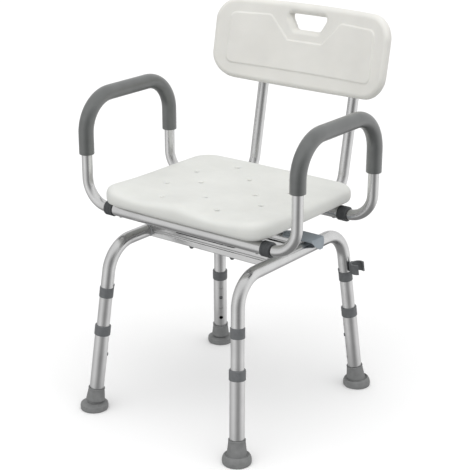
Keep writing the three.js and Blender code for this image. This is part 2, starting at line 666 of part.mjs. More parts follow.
const buttonHole = (outer, angle, height, frame) =>
  peg(BUTTON_HOLE_R, BUTTON_R, outer + OVER, angle, height, frame);

// Base frame tubes
function frameTube(name, s) {
  const corners = [
    onLeg(s, 1, FRAME_END_Z),
    V(s * FRAME_TOP_X, FRAME_TOP_Y, FRAME_TOP_Z),
    V(s * FRAME_TOP_X, -FRAME_TOP_Y, FRAME_TOP_Z),
    onLeg(s, -1, FRAME_END_Z),
  ];
  const route = bent(corners, [FRAME_BEND_R, FRAME_BEND_R], BEND_STEPS);
  const side = V(s, 0, LEG_LEAN_X).normalize();
  const holes = [1, -1].map((t) =>
    buttonHole(FRAME_TUBE_R, inward(s, t), along(UPPER_BUTTON_Z), legFrame(s, t)),
  );
  add(name, without(pipe(route, side, FRAME_TUBE_R, FRAME_BORE_R, 0), holes), aluminium);
}
frameTube("left_frame_tube", -1);
frameTube("right_frame_tube", 1);

// Crossbars: a rectangular extrusion with a groove along each tall face
function crossbar(name, y, extra) {
  const [h, w] = [BAR_DEEP / 2, BAR_WALL];
  const [z0, z1, b] = [BAR_LOW_Z, BAR_HIGH_Z, BAR_BEVEL];
  const [g0, g1, g] = [BAR_GROOVE_Z - BAR_GROOVE_WIDE / 2, BAR_GROOVE_Z + BAR_GROOVE_WIDE / 2, BAR_GROOVE_DEEP];
  const half = [
    [h - b, z0],
    [h, z0 + b],
    [h, g0],
    [h - g, g0 + g],
    [h - g, g1 - g],
    [h, g1],
    [h, z1 - b],
    [h - b, z1],
  ];
  const profile = half.concat(half.map(([v, z]) => [-v, z]).reverse());
  const shape = new THREE.Shape(profile.map(([v, z]) => new THREE.Vector2(v, z)));
  const inner = [[-h + w + g, z0 + w], [h - w - g, z0 + w], [h - w - g, z1 - w], [-h + w + g, z1 - w]];
  shape.holes.push(new THREE.Path(inner.map(([v, z]) => new THREE.Vector2(v, z))));
  const geometry = new THREE.ExtrudeGeometry(shape, { depth: 2 * FRAME_TOP_X, bevelEnabled: false });
  geometry.translate(0, 0, -FRAME_TOP_X);
  geometry.rotateX(Math.PI / 2);
  geometry.rotateZ(Math.PI / 2);
  geometry.translate(0, y, 0);
  const copes = [-1, 1].map((s) => {
    const ends = [V(s * FRAME_TOP_X, -FRAME_TOP_Y, FRAME_TOP_Z), V(s * FRAME_TOP_X, FRAME_TOP_Y, FRAME_TOP_Z)];
    const side = V(s, 0, LEG_LEAN_X).normalize();
    const cope = rod(bent(ends, [], BEND_STEPS), side, FRAME_TUBE_R + GAP, 0);
    const [x0, x1] = s > 0 ? [FRAME_TOP_X, 2 * FRAME_TOP_X] : [-2 * FRAME_TOP_X, -FRAME_TOP_X];
    return cope.add(box(x0, x1, -FRAME_TOP_Y, FRAME_TOP_Y, BAR_LOW_Z - OVER, BAR_HIGH_Z + OVER));
  });
  add(name, without(without(solid(geometry), copes), extra), aluminium);
}
const turnY = new THREE.Matrix4().makeTranslation(LEVER_PIN_X, 0, LEVER_PIN_Z);
const pinHole = (radius, from, to) => peg(radius, from, to, Math.PI / 2, 0, turnY);
crossbar("front_crossbar", -BAR_Y, []);
crossbar("rear_crossbar", BAR_Y, [pinHole(LEVER_PIN_HOLE_R, BAR_Y - BAR_DEEP, BAR_Y + BAR_DEEP)]);

// Swivel: square plates with a ball groove, held together by a rolled hub
function plateOutline() {
  const points = [];
  const flat = PLATE_HALF - PLATE_CORNER_R;
  [[1, 1], [-1, 1], [-1, -1], [1, -1]].forEach(([sx, sy], q) => {
    for (let k = 0; k <= PLATE_CORNER_STEPS; k++) {
      const angle = (Math.PI / 2) * (q + k / PLATE_CORNER_STEPS);
      points.push([
        sx * flat + PLATE_CORNER_R * Math.cos(angle),
        sy * flat + PLATE_CORNER_R * Math.sin(angle),
      ]);
    }
  });
  return points;
}
const drum = (radius, low, high) => turned([[0, low], [radius, low], [radius, high], [0, high]], RING_SIDES);
function ballGroove(face, way) {
  const [m, w, f, d] = [GROOVE_MIDDLE_R, GROOVE_HALF, GROOVE_FLOOR_HALF, GROOVE_DEEP];
  const profile = [[m - w, face - way * OVER], [m - w, face], [m - f, face + way * d]];
  profile.push([m + f, face + way * d], [m + w, face], [m + w, face - way * OVER]);
  return turned(profile, RING_SIDES);
}
const lowerTop = LOWER_PLATE_Z + PLATE_THICK;
const upperTop = UPPER_PLATE_Z + PLATE_THICK;
const cutIn = [LOWER_CUT_X, PLATE_HALF + OVER, NOTCH_Y - LOWER_CUT_HALF, NOTCH_Y + LOWER_CUT_HALF];
const lowerPlate = without(slab(plateOutline(), LOWER_PLATE_Z, lowerTop), [
  drum(HUB_HOLE_R, LOWER_PLATE_Z - OVER, lowerTop + OVER),
  ballGroove(lowerTop, -1),
  box(...cutIn, LOWER_PLATE_Z - OVER, lowerTop + OVER),
]);
add("lower_swivel_plate", lowerPlate, blackSteel);

const lipTop = LOWER_PLATE_Z - HUB_LIP_DROP;
const hub = turned(
  [
    [HUB_BORE_R, lipTop - HUB_LIP_THICK],
    [HUB_LIP_R, lipTop - HUB_LIP_THICK],
    [HUB_LIP_R, lipTop],
    [HUB_R, lipTop],
    [HUB_R, upperTop],
    [HUB_BORE_R, upperTop],
  ],
  RING_SIDES,
);
const notches = [];
for (let q = 0; q < NOTCH_COUNT; q++) {
  const turn = new THREE.Matrix4().makeRotationZ((2 * Math.PI * q) / NOTCH_COUNT);
  const place = [NOTCH_IN, PLATE_HALF + OVER, NOTCH_Y - NOTCH_HALF, NOTCH_Y + NOTCH_HALF];
  notches.push(box(...place, UPPER_PLATE_Z - OVER, upperTop + OVER, turn));
}
const upperPlate = without(slab(plateOutline(), UPPER_PLATE_Z, upperTop), [
  drum(HUB_BORE_R, UPPER_PLATE_Z - OVER, upperTop + OVER),
  ballGroove(UPPER_PLATE_Z, 1),
  ...notches,
]);
add("upper_swivel_plate", upperPlate.add(hub), blackSteel);

const ballZ = (lowerTop + UPPER_PLATE_Z) / 2;
const cage = turned(
  [
    [GROOVE_MIDDLE_R - CAGE_HALF_WIDE, ballZ - CAGE_HALF_THICK],
    [GROOVE_MIDDLE_R + CAGE_HALF_WIDE, ballZ - CAGE_HALF_THICK],
    [GROOVE_MIDDLE_R + CAGE_HALF_WIDE, ballZ + CAGE_HALF_THICK],
    [GROOVE_MIDDLE_R - CAGE_HALF_WIDE, ballZ + CAGE_HALF_THICK],
  ],
  RING_SIDES,
);
const balls = [];
for (let i = 0; i < BALL_COUNT; i++) {
  const ball = new THREE.SphereGeometry(BALL_R, BALL_SIDES, BALL_SIDES - 2);
  ball.rotateX(Math.PI / 2);
  ball.translate(GROOVE_MIDDLE_R, 0, ballZ);
  ball.rotateZ((2 * Math.PI * (i + 1 / 2)) / BALL_COUNT);
  balls.push(solid(ball));
}
add("ball_race", joined([cage, ...balls]), brightSteel);

// Lock lever
const flat = (points, low, high, turn) => slab(points, low, high, turn);
const standing = new THREE.Matrix4().makeRotationX(Math.PI / 2); // outline x, z; raised along -Y
const endOn = new THREE.Matrix4().makeBasis(V(0, 1, 0), V(0, 0, 1), V(1, 0, 0)); // outline y, z; raised along X
const leverWeb = box(
  LEVER_IN_X, LEVER_OUT_X, LEVER_FRONT_Y, LEVER_REAR_Y, LEVER_TOP_Z - LEVER_SHEET, LEVER_TOP_Z,
);
const flangeLow = LEVER_TOP_Z - LEVER_FLANGE;
const flangeOutline = [
  [LEVER_IN_X, flangeLow],
  [LEVER_PIN_X - EAR_HALF - LEVER_FLANGE, flangeLow],
  [LEVER_PIN_X - EAR_HALF, LEVER_PIN_Z],
  [LEVER_PIN_X - EAR_HALF / 2, EAR_LOW_Z],
  [LEVER_PIN_X + EAR_HALF / 2, EAR_LOW_Z],
  [LEVER_PIN_X + EAR_HALF, LEVER_PIN_Z],
  [LEVER_PIN_X + EAR_HALF + LEVER_FLANGE / 2, flangeLow],
  [LEVER_OUT_X, flangeLow],
  [LEVER_OUT_X, LEVER_TOP_Z],
  [LEVER_IN_X, LEVER_TOP_Z],
];
const frontFlange = flat(flangeOutline, -LEVER_FRONT_Y - LEVER_SHEET, -LEVER_FRONT_Y, standing);
const rearFlange = flat(flangeOutline, -LEVER_REAR_Y, -LEVER_REAR_Y + LEVER_SHEET, standing);
const tab = flat(
  [
    [LEVER_FRONT_Y, flangeLow],
    [TAB_TIP_FRONT_Y, TAB_TIP_Z + OVER],
    [(TAB_TIP_FRONT_Y + TAB_TIP_REAR_Y) / 2, TAB_TIP_Z],
    [TAB_TIP_REAR_Y, TAB_TIP_Z],
    [LEVER_REAR_Y, TAB_REAR_Z],
    [LEVER_REAR_Y, LEVER_TOP_Z],
    [LEVER_FRONT_Y, LEVER_TOP_Z],
  ],
  LEVER_OUT_X - TAB_THICK,
  LEVER_OUT_X,
  endOn,
);
const tongueOutline = [
  [TONGUE_TIP_X, TONGUE_LOW_Z],
  [TONGUE_STEP_X, TONGUE_LOW_Z],
  [LEVER_IN_X + LEVER_SHEET, LEVER_TOP_Z - LEVER_SHEET],
  [LEVER_IN_X + LEVER_SHEET, LEVER_TOP_Z],
  [LEVER_IN_X, LEVER_TOP_Z],
  [TONGUE_STEP_X - LEVER_SHEET, TONGUE_HIGH_Z],
  [TONGUE_TIP_X, TONGUE_HIGH_Z],
];
const tongue = flat(tongueOutline, -NOTCH_Y - TONGUE_HALF, -NOTCH_Y + TONGUE_HALF, standing);
const lever = joined([leverWeb, frontFlange, rearFlange, tab, tongue]);
const leverHole = pinHole(LEVER_PIN_HOLE_R, LEVER_FRONT_Y - OVER, LEVER_REAR_Y + OVER);
add("lock_lever", lever.subtract(leverHole), steel);
const pinEnd = [LEVER_FRONT_Y - GAP, LEVER_REAR_Y + GAP];
const leverPin = joined([
  pinHole(LEVER_PIN_R, pinEnd[0] - LEVER_PIN_HEAD, pinEnd[1] + LEVER_PIN_HEAD),
  pinHole(LEVER_PIN_HEAD_R, pinEnd[0] - LEVER_PIN_HEAD, pinEnd[0]),
  pinHole(LEVER_PIN_HEAD_R, pinEnd[1], pinEnd[1] + LEVER_PIN_HEAD),
]);
add("lever_pin", leverPin, brightSteel);

// Legs
legs.forEach(([name, s, t]) => {
  const frame = legFrame(s, t);
  const angle = inward(s, t);
  const z = along;
  const middle = turned(
    [
      [FRAME_TUBE_R, z(MIDDLE_END_Z)],
      [FRAME_TUBE_R, z(NECK_LOW_Z)],
      [NECK_R, z(NECK_HIGH_Z)],
      [NECK_R, z(NECK_TOP_Z)],
      [NECK_BORE_R, z(NECK_TOP_Z)],
      [NECK_BORE_R, z(NECK_HIGH_Z)],
      [FRAME_BORE_R, z(NECK_LOW_Z)],
      [FRAME_BORE_R, z(MIDDLE_END_Z)],
    ],
    SIDES,
    frame,
  );
  const middleHoles = [UPPER_BUTTON_Z, HOLE_BUTTON_Z].map((h) => buttonHole(FRAME_TUBE_R, angle, z(h), frame));
  add(name + "_middle_tube", without(middle, middleHoles), aluminium);

  const bevel = COLLAR_BEVEL;
  const upperCollar = turned(
    [
      [FRAME_TUBE_R + GAP, z(UPPER_COLLAR_LOW_Z)],
      [UPPER_COLLAR_R, z(UPPER_COLLAR_LOW_Z)],
      [UPPER_COLLAR_R, z(UPPER_COLLAR_HIGH_Z)],
      [FRAME_TUBE_R + GAP, z(UPPER_COLLAR_HIGH_Z)],
    ],
    SIDES,
    frame,
  );
  add(name + "_upper_collar", upperCollar, collarPlastic);
  const upper = snapButton(NECK_BORE_R, FRAME_TUBE_R, angle, z(UPPER_BUTTON_Z), frame);
  add(name + "_upper_button", upper, brightSteel);

  const lower = turned(
    [
      [LOWER_TUBE_R, z(LOWER_END_Z)],
      [LOWER_TUBE_R, z(LOWER_TOP_Z)],
      [LOWER_BORE_R, z(LOWER_TOP_Z)],
      [LOWER_BORE_R, z(LOWER_END_Z)],
    ],
    SIDES,
    frame,
  );
  const rows = [];
  for (let k = -HOLES_BELOW; k <= HOLES_ABOVE; k++) rows.push(z(HOLE_BUTTON_Z) + k * HOLE_PITCH);
  const holes = rows.map((h) => buttonHole(LOWER_TUBE_R, angle, h, frame));
  add(name + "_lower_tube", without(lower, holes), aluminium);

  const lowerCollar = turned(
    [
      [LOWER_TUBE_R + GAP, z(LOWER_COLLAR_LOW_Z)],
      [LOWER_COLLAR_R, z(LOWER_COLLAR_LOW_Z)],
      [LOWER_COLLAR_R, z(LOWER_COLLAR_HIGH_Z) - bevel],
      [LOWER_COLLAR_R - bevel, z(LOWER_COLLAR_HIGH_Z)],
      [FRAME_TUBE_R + GAP, z(LOWER_COLLAR_HIGH_Z)],
      [FRAME_TUBE_R + GAP, z(LOWER_TOP_Z) + GAP],
      [LOWER_TUBE_R + GAP, z(LOWER_TOP_Z) + GAP],
    ],
    SIDES,
    frame,
  );
  add(name + "_lower_collar", lowerCollar, collarPlastic);
  const button = snapButton(FRAME_BORE_R, LOWER_TUBE_R, angle, z(HOLE_BUTTON_Z), frame);
  add(name + "_lower_button", button, brightSteel);

  // The foot's sleeve leans with the leg, its base stands upright
  const sleeve = turned(
    [
      [0, z(LOWER_END_Z)],
      [FOOT_SLEEVE_LOW_R, z(LOWER_END_Z)],
      [FOOT_SLEEVE_LOW_R, z(FOOT_CREASE_Z)],
      [FOOT_SLEEVE_TOP_R, z(FOOT_BEAD_Z)],
      [FOOT_SLEEVE_TOP_R, z(FOOT_TOP_Z)],
      [0, z(FOOT_TOP_Z)],
    ],
    FOOT_SIDES,
    frame,
  );
  const base = turned(
    [
      [0, 0],
      [FOOT_BASE_R, 0],
      [FOOT_BULGE_R, FOOT_BULGE_Z],
      [FOOT_SHOULDER_R, FOOT_SHOULDER_Z],
      [FOOT_RIM_OUTER_R, FOOT_RIM_Z - FOOT_RIM_DROP],
      [FOOT_RIM_INNER_R, FOOT_RIM_Z],
      [FOOT_SLEEVE_LOW_R - OVER, FOOT_CREASE_Z],
      [0, FOOT_CREASE_Z],
    ],
    FOOT_SIDES,
    new THREE.Matrix4().makeTranslation(s * FOOT_X, t * FOOT_Y, 0),
  );
  const bore = turned(
    [
      [0, z(FOOT_FLOOR_Z)],
      [LOWER_TUBE_R + GAP, z(FOOT_FLOOR_Z)],
      [LOWER_TUBE_R + GAP, z(FOOT_TOP_Z) + OVER],
      [0, z(FOOT_TOP_Z) + OVER],
    ],
    SIDES,
    frame,
  );
  add(name + "_foot", sleeve.add(base).subtract(bore), rubber);
});

// Hose clip on the back right leg
{
  const frame = legFrame(1, 1);
  const sleeve = turned(
    [
      [CLIP_WIDE_R, along(CLIP_LOW_Z)],
      [CLIP_R, along(CLIP_LOW_Z)],
      [CLIP_R, along(CLIP_HIGH_Z)],
      [FRAME_TUBE_R + GAP, along(CLIP_HIGH_Z)],
      [FRAME_TUBE_R + GAP, along(CLIP_STEP_Z)],
      [CLIP_WIDE_R, along(CLIP_STEP_Z)],
    ],
    SIDES,
    frame,
  );
  const reach = [BUTTON_R, CLIP_R + OVER, -CLIP_MOUTH_HALF, CLIP_MOUTH_HALF];
  const turn = frame.clone().multiply(new THREE.Matrix4().makeRotationZ(inward(1, 1)));
  const mouth = box(...reach, along(CLIP_LOW_Z) - OVER, along(CLIP_HIGH_Z) + OVER, turn);
  const web = box(
    FRAME_TUBE_R + GAP + OVER, CLIP_JAW_X - CLIP_JAW_BORE_R - OVER, -CLIP_WEB_HALF, CLIP_WEB_HALF,
    along(CLIP_JAW_LOW_Z), along(CLIP_JAW_HIGH_Z), frame,
  );
  const open = THREE.MathUtils.degToRad(CLIP_JAW_MOUTH / 2);
  const arc = (radius, from, to) => {
    const points = [];
    for (let k = 0; k <= CLIP_STEPS; k++) {
      const angle = from + ((to - from) * k) / CLIP_STEPS;
      points.push([CLIP_JAW_X + radius * Math.cos(angle), radius * Math.sin(angle)]);
    }
    return points;
  };
  const jaw = arc(CLIP_JAW_R, open, 2 * Math.PI - open).concat(arc(CLIP_JAW_BORE_R, 2 * Math.PI - open, open));
  const jaws = slab(jaw, along(CLIP_JAW_LOW_Z), along(CLIP_JAW_HIGH_Z), frame);
  const bore = turned(
    [
      [0, along(CLIP_LOW_Z) - OVER],
      [CLIP_WIDE_R, along(CLIP_LOW_Z) - OVER],
      [CLIP_WIDE_R, along(CLIP_STEP_Z)],
      [FRAME_TUBE_R + GAP, along(CLIP_STEP_Z)],
      [FRAME_TUBE_R + GAP, along(CLIP_HIGH_Z) + OVER],
      [0, along(CLIP_HIGH_Z) + OVER],
    ],
    SIDES,
    frame,
  );
  add("hose_clip", without(joined([sleeve, web, jaws]), [bore, mouth]), collarPlastic);
}

// Rails: channels, open at the top, that sweep up from the upper plate to the seat tubes
function rail(name, s) {
  const x0 = s * RAIL_X - RAIL_HALF;
  const x1 = s * RAIL_X + RAIL_HALF;
  const side = [
    [RAIL_FRONT_Y + RAIL_SWEEP, RAIL_LOW_Z], [RAIL_REAR_Y - RAIL_SWEEP, RAIL_LOW_Z],
    [RAIL_REAR_Y, RAIL_HIGH_Z - RAIL_TIP], [RAIL_REAR_Y, RAIL_HIGH_Z],
    [RAIL_FRONT_Y, RAIL_HIGH_Z], [RAIL_FRONT_Y, RAIL_HIGH_Z - RAIL_TIP],
  ];
  const sideways = new THREE.Matrix4().makeBasis(V(0, 1, 0), V(0, 0, 1), V(1, 0, 0));
  const outer = slab(side, x0, x1, sideways);
  const trough = box(
    x0 + RAIL_SHEET, x1 - RAIL_SHEET, RAIL_FRONT_Y - OVER, RAIL_REAR_Y + OVER,
    RAIL_LOW_Z + RAIL_SHEET, RAIL_HIGH_Z + OVER,
  );
  add(name, outer.subtract(trough), aluminium);
}
rail("left_rail", -1);
rail("right_rail", 1);

// Seat tubes run along X. Their frame has Z along the tube and X straight down.
const down = V(0, 0, -1);
function acrossFrame(s, y) {
  const z = V(s, 0, 0);
  return new THREE.Matrix4().makeBasis(down.clone(), z.clone().cross(down), z).setPosition(0, y, SEAT_TUBE_Z);
}
function straight(from, to) {
  return bent([from, to], [], BEND_STEPS);
}
function seatTube(y) {
  const ends = [V(-SEAT_HALF_X, y, SEAT_TUBE_Z), V(SEAT_HALF_X, y, SEAT_TUBE_Z)];
  const holes = [-1, 1].map((s) => buttonHole(SEAT_TUBE_R, 0, ARM_BUTTON_X, acrossFrame(s, y)));
  return without(pipe(straight(...ends), V(0, 1, 0), SEAT_TUBE_R, SEAT_TUBE_BORE_R, FLAT), holes);
}
add("front_seat_tube", seatTube(SEAT_TUBE_FRONT_Y), aluminium);

// The rear seat tube carries the two welded back sockets
function postFrame(s) {
  const z = V(0, 1, 0);
  return new THREE.Matrix4().makeBasis(down.clone(), z.clone().cross(down), z).setPosition(s * POST_X, 0, SEAT_TUBE_Z);
}
const rearBore = rod(
  straight(
    V(-SEAT_HALF_X - OVER, SEAT_TUBE_REAR_Y, SEAT_TUBE_Z),
    V(SEAT_HALF_X + OVER, SEAT_TUBE_REAR_Y, SEAT_TUBE_Z),
  ),
  V(0, 1, 0), SEAT_TUBE_BORE_R, FLAT,
);
const sockets = [-1, 1].map((s) => {
  const ends = [V(s * POST_X, SEAT_TUBE_REAR_Y, SEAT_TUBE_Z), V(s * POST_X, SOCKET_REAR_Y, SEAT_TUBE_Z)];
  return rod(straight(...ends), V(1, 0, 0), SEAT_TUBE_R, FLAT);
});
const socketCuts = [-1, 1].flatMap((s) => {
  const from = V(s * POST_X, POST_PLUG_Y - GAP, SEAT_TUBE_Z);
  const to = V(s * POST_X, SOCKET_REAR_Y + OVER, SEAT_TUBE_Z);
  return [
    rod(straight(from, to), V(1, 0, 0), SEAT_TUBE_BORE_R, FLAT),
    buttonHole(SEAT_TUBE_R, 0, POST_BUTTON_Y, postFrame(s)),
  ];
});
const rearTube = joined([seatTube(SEAT_TUBE_REAR_Y), ...sockets.map((socket) => socket.subtract(rearBore))]);
add("rear_seat_tube", without(rearTube, socketCuts), aluminium);

// Arms: a bent tube that plugs into both seat tubes, with a foam grip over the top
const TOP_FRONT = [SEAT_TUBE_FRONT_Y, ARM_TOP_Z];
function armRoute(s) {
  const [f, r] = [SEAT_TUBE_FRONT_Y, SEAT_TUBE_REAR_Y];
  const corners = [
    V(s * ARM_PLUG_X, f, SEAT_TUBE_Z),
    V(s * ARM_X, f, SEAT_TUBE_Z),
    V(s * ARM_X, TOP_FRONT[0], TOP_FRONT[1]),
    V(s * ARM_X, r, ARM_TOP_Z),
    V(s * ARM_X, r, SEAT_TUBE_Z),
    V(s * ARM_PLUG_X, r, SEAT_TUBE_Z),
  ];
  return bent(corners, [ARM_LOW_BEND_R, ARM_TOP_BEND_R, ARM_TOP_BEND_R, ARM_LOW_BEND_R], BEND_STEPS);
}
function arm(word, s, gripFront, gripRear) {
  const side = V(0, 1, 0);
  const holes = [SEAT_TUBE_FRONT_Y, SEAT_TUBE_REAR_Y].map((y) =>
    buttonHole(ARM_TUBE_R, 0, ARM_BUTTON_X, acrossFrame(s, y)),
  );
  add(word + "_arm_tube", without(pipe(armRoute(s), side, ARM_TUBE_R, ARM_BORE_R, FLAT), holes), aluminium);
  const grip = bent(
    [
      V(s * ARM_X, SEAT_TUBE_FRONT_Y, gripFront),
      V(s * ARM_X, SEAT_TUBE_FRONT_Y, ARM_TOP_Z),
      V(s * ARM_X, SEAT_TUBE_REAR_Y, ARM_TOP_Z),
      V(s * ARM_X, SEAT_TUBE_REAR_Y, gripRear),
    ],
    [ARM_TOP_BEND_R, ARM_TOP_BEND_R],
    BEND_STEPS,
  );
  add(word + "_grip", pipe(grip, side, GRIP_R, ARM_TUBE_R + GAP, FLAT), foam);
  [["front", SEAT_TUBE_FRONT_Y], ["rear", SEAT_TUBE_REAR_Y]].forEach(([end, y]) => {
    const frame = acrossFrame(s, y);
    const collar = turned(
      [
        [SEAT_TUBE_R + GAP, ARM_COLLAR_IN_X],
        [ARM_COLLAR_R, ARM_COLLAR_IN_X],
        [ARM_COLLAR_R, ARM_COLLAR_OUT_X - COLLAR_BEVEL],
        [ARM_COLLAR_R - COLLAR_BEVEL, ARM_COLLAR_OUT_X],
        [ARM_TUBE_R + GAP, ARM_COLLAR_OUT_X],
        [ARM_TUBE_R + GAP, SEAT_HALF_X + GAP],
        [SEAT_TUBE_R + GAP, SEAT_HALF_X + GAP],
      ],
      SIDES,
      frame,
      FLAT,
    );
    add(word + "_" + end + "_arm_collar", collar, collarPlastic);
    const button = snapButton(ARM_BORE_R, SEAT_TUBE_R, 0, ARM_BUTTON_X, frame);
    add(word + "_" + end + "_arm_button", button, brightSteel);
  });
}
arm("left", -1, ARM_TOP_Z - GRIP_FRONT_LEFT_DROP, ARM_TOP_Z - GRIP_REAR_LEFT_DROP);
arm("right", 1, ARM_TOP_Z - GRIP_FRONT_RIGHT_DROP, ARM_TOP_Z - GRIP_REAR_RIGHT_DROP);

// Back posts
const LEAN = Math.atan(POST_LEAN);
const panelUp = V(0, Math.sin(LEAN), Math.cos(LEAN));
const panelBack = V(0, Math.cos(LEAN), -Math.sin(LEAN));
const panelDatum = V(0, PANEL_Y, PANEL_Z);
const postY = (z) => POST_LINE_Y + (z - POST_LINE_Z) * POST_LEAN;
const postTopZ = PANEL_Z + POST_TOP_V * Math.cos(LEAN);
const postRoute = (s) =>
  bent(
    [
      V(s * POST_X, POST_PLUG_Y, SEAT_TUBE_Z),
      V(s * POST_X, postY(SEAT_TUBE_Z), SEAT_TUBE_Z),
      V(s * POST_X, postY(postTopZ), postTopZ),
    ],
    [POST_BEND_R],
    BEND_STEPS,
  );
[["left", -1], ["right", 1]].forEach(([word, s]) => {
  const tube = pipe(postRoute(s), V(1, 0, 0), POST_R, POST_BORE_R, FLAT);
  const hole = buttonHole(POST_R, 0, POST_BUTTON_Y, postFrame(s));
  add(word + "_back_post", tube.subtract(hole), aluminium);
  const button = snapButton(POST_BORE_R, SEAT_TUBE_R, 0, POST_BUTTON_Y, postFrame(s));
  add(word + "_back_button", button, brightSteel);
});

// Backrest panel, bent round the sitter's back
const bendBack = (x) => -(x ** 2) / (2 * PANEL_BEND_R);
const onPanel = (x, v, n) =>
  panelDatum.clone().add(V(x, 0, 0)).addScaledVector(panelUp, v).addScaledVector(panelBack, n + bendBack(x));
function panelBody(inset, edge, thick) {
  return loft(
    panel_edge_shares.map(([share, through]) =>
      outline(PANEL_HALF, PANEL_LOW_V, PANEL_HIGH_V, PANEL_CORNER_R, PANEL_BULGE, inset + share * edge).map(
        ([x, v]) => onPanel(x, v, through * thick),
      ),
    ),
  );
}
// A straight prism through the panel along its thickness
const panelFrame = new THREE.Matrix4()
  .makeBasis(V(-1, 0, 0), panelUp.clone(), panelBack.clone())
  .setPosition(panelDatum);
const prism = (points, low, high) => slab(points, low, high, panelFrame);
function handHole(grow) {
  const points = [];
  const corners = [
    [HAND_HOLE_LOW_HALF, HAND_HOLE_LOW_V, -1],
    [HAND_HOLE_TOP_HALF, HAND_HOLE_HIGH_V, 1],
  ];
  const ease = (HAND_HOLE_TOP_HALF - HAND_HOLE_LOW_HALF) / (HAND_HOLE_HIGH_V - HAND_HOLE_LOW_V);
  corners.forEach(([half, v, way]) => {
    const r = HAND_HOLE_ROUND;
    const list = [
      [half + grow - way * ease * r, v + way * grow - way * r],
      [half + grow - r * (1 - Math.SQRT1_2), v + way * grow - way * r * (1 - Math.SQRT1_2)],
      [half + grow - r, v + way * grow],
    ];
    points.push(...(way > 0 ? list : list.reverse()));
  });
  return points.concat(points.map(([x, v]) => [-x, v]).reverse());
}
const through = 2 * PANEL_HALF_THICK;
const panelOuter = panelBody(0, PANEL_EDGE, PANEL_HALF_THICK);
const cavity = panelBody(PANEL_WALL, PANEL_EDGE, PANEL_HALF_THICK - PANEL_WALL).subtract(
  prism(handHole(HAND_HOLE_LIP), -through, through),
);
const fieldOutline = [
  [FIELD_LOW_HALF, FIELD_LOW_V],
  [FIELD_TOP_HALF, FIELD_TOP_V],
  [FIELD_INNER_HALF, FIELD_INNER_V],
  [FIELD_NOTCH_HALF, FIELD_NOTCH_V],
];
const onField = prism(fieldOutline.concat(fieldOutline.map(([x, v]) => [-x, v]).reverse()), -2 * through, 0);
const field = onField.intersect(
  loft(
    [-PANEL_HALF_THICK - FIELD_RISE, -PANEL_HALF_THICK + PANEL_WALL / 2].map((n) =>
      outline(PANEL_HALF, PANEL_LOW_V, PANEL_HIGH_V, PANEL_CORNER_R, PANEL_BULGE, 0).map(([x, v]) => onPanel(x, v, n)),
    ),
  ),
);
const pads = [-1, 1].flatMap((s) =>
  [PAD_LOW_V, PAD_HIGH_V].map((v) => {
    const postGap = V(s * POST_X, postY(PANEL_Z), PANEL_Z).sub(panelDatum).dot(panelBack);
    const x = -s * POST_X;
    return prism(
      [[x - PAD_HALF_X, v], [x + PAD_HALF_X, v], [x + PAD_HALF_X, v + PAD_TALL], [x - PAD_HALF_X, v + PAD_TALL]],
      0,
      postGap - POST_R + PAD_WRAP,
    );
  }),
);
const posts = [-1, 1].map((s) => rod(longer(postRoute(s)), V(1, 0, 0), POST_R + GAP, FLAT));
const blowHole = prism(
  [[-BLOW_HOLE_R, 0], [0, -BLOW_HOLE_R], [BLOW_HOLE_R, 0], [0, BLOW_HOLE_R]],
  0,
  through,
);
const panel = without(joined([panelOuter.subtract(cavity), field, ...pads.map((pad) => pad.subtract(cavity))]), [
  prism(handHole(0), -through, through),
  blowHole,
  ...posts,
]);
add("back_panel", panel, shellPlastic);

// Seat shell
const seatMiddleY = (SEAT_FRONT_Y + SEAT_REAR_Y) / 2;
function seatTop(x, y) {
  const ease = THREE.MathUtils.smoothstep(-y, -SEAT_THIGH_FROM_Y, -SEAT_THIGH_FULL_Y);
  const thigh = SEAT_THIGH * Math.cos((2 * Math.PI * x) / SEAT_THIGH_PITCH) * ease;
  const out = Math.min(1, Math.hypot(x / SEAT_HALF_X, (y - seatMiddleY) / (SEAT_REAR_Y - seatMiddleY)));
  return thigh - SEAT_DISH * (1 - out ** 2) * (1 - ease);
}
function seatBody(shares) {
  return loft(
    shares.map(([inShare, share]) => {
      const inset = inShare * SEAT_RIM_REACH;
      const span = share < 0 ? SEAT_EDGE_LOW_Z - SEAT_UNDER_Z : SEAT_TOP_Z - SEAT_EDGE_LOW_Z;
      const z = SEAT_EDGE_LOW_Z + share * span;
      return outline(SEAT_HALF_X, SEAT_FRONT_Y, SEAT_REAR_Y, SEAT_CORNER_R, SEAT_EDGE_BULGE, inset).map(([x, y]) =>
        V(x, y, z + Math.max(0, share) * seatTop(x, y)),
      );
    }),
  );
}
const drains = [];
[-1, 1].forEach((a) => {
  drains.push([a * DRAIN_SIDE_X, 0], [0, a * DRAIN_MIDDLE_Y]);
  [-1, 1].forEach((b) => {
    drains.push([a * DRAIN_OUTER_X, b * DRAIN_OUTER_Y], [a * DRAIN_CORNER_X, b * DRAIN_CORNER_Y]);
  });
});
const post = (radius, [x, y], low, high) =>
  turned([[0, low], [radius, low], [radius, high], [0, high]], PEG_SIDES, new THREE.Matrix4().makeTranslation(x, y, 0));
const seatOuter = seatBody(seat_rim_shares);
const seatCavity = without(
  seatBody(seat_cavity_shares),
  drains.map((at) => post(DRAIN_R + DRAIN_WALL, at, SEAT_UNDER_Z - OVER, SEAT_TOP_Z + OVER)),
);
const seat = without(seatOuter.subtract(seatCavity), [
  ...drains.map((at) => post(DRAIN_R, at, SEAT_UNDER_Z - OVER, SEAT_TOP_Z + SEAT_THIGH + OVER)),
  post(BLOW_HOLE_R, [BLOW_HOLE_X, 0], SEAT_UNDER_Z - OVER, SEAT_EDGE_LOW_Z),
]);
add("seat_shell", seat, shellPlastic);

// The row's origin: the middle of the outline, from the front feet to the back posts' tops
const rearmost = postY(postTopZ) + apothem(POST_R) * Math.cos(LEAN);
const frontmost = -FOOT_Y - FOOT_BULGE_R;
root.position.set(0, -(rearmost + frontmost) / 2, 0);

export default root;
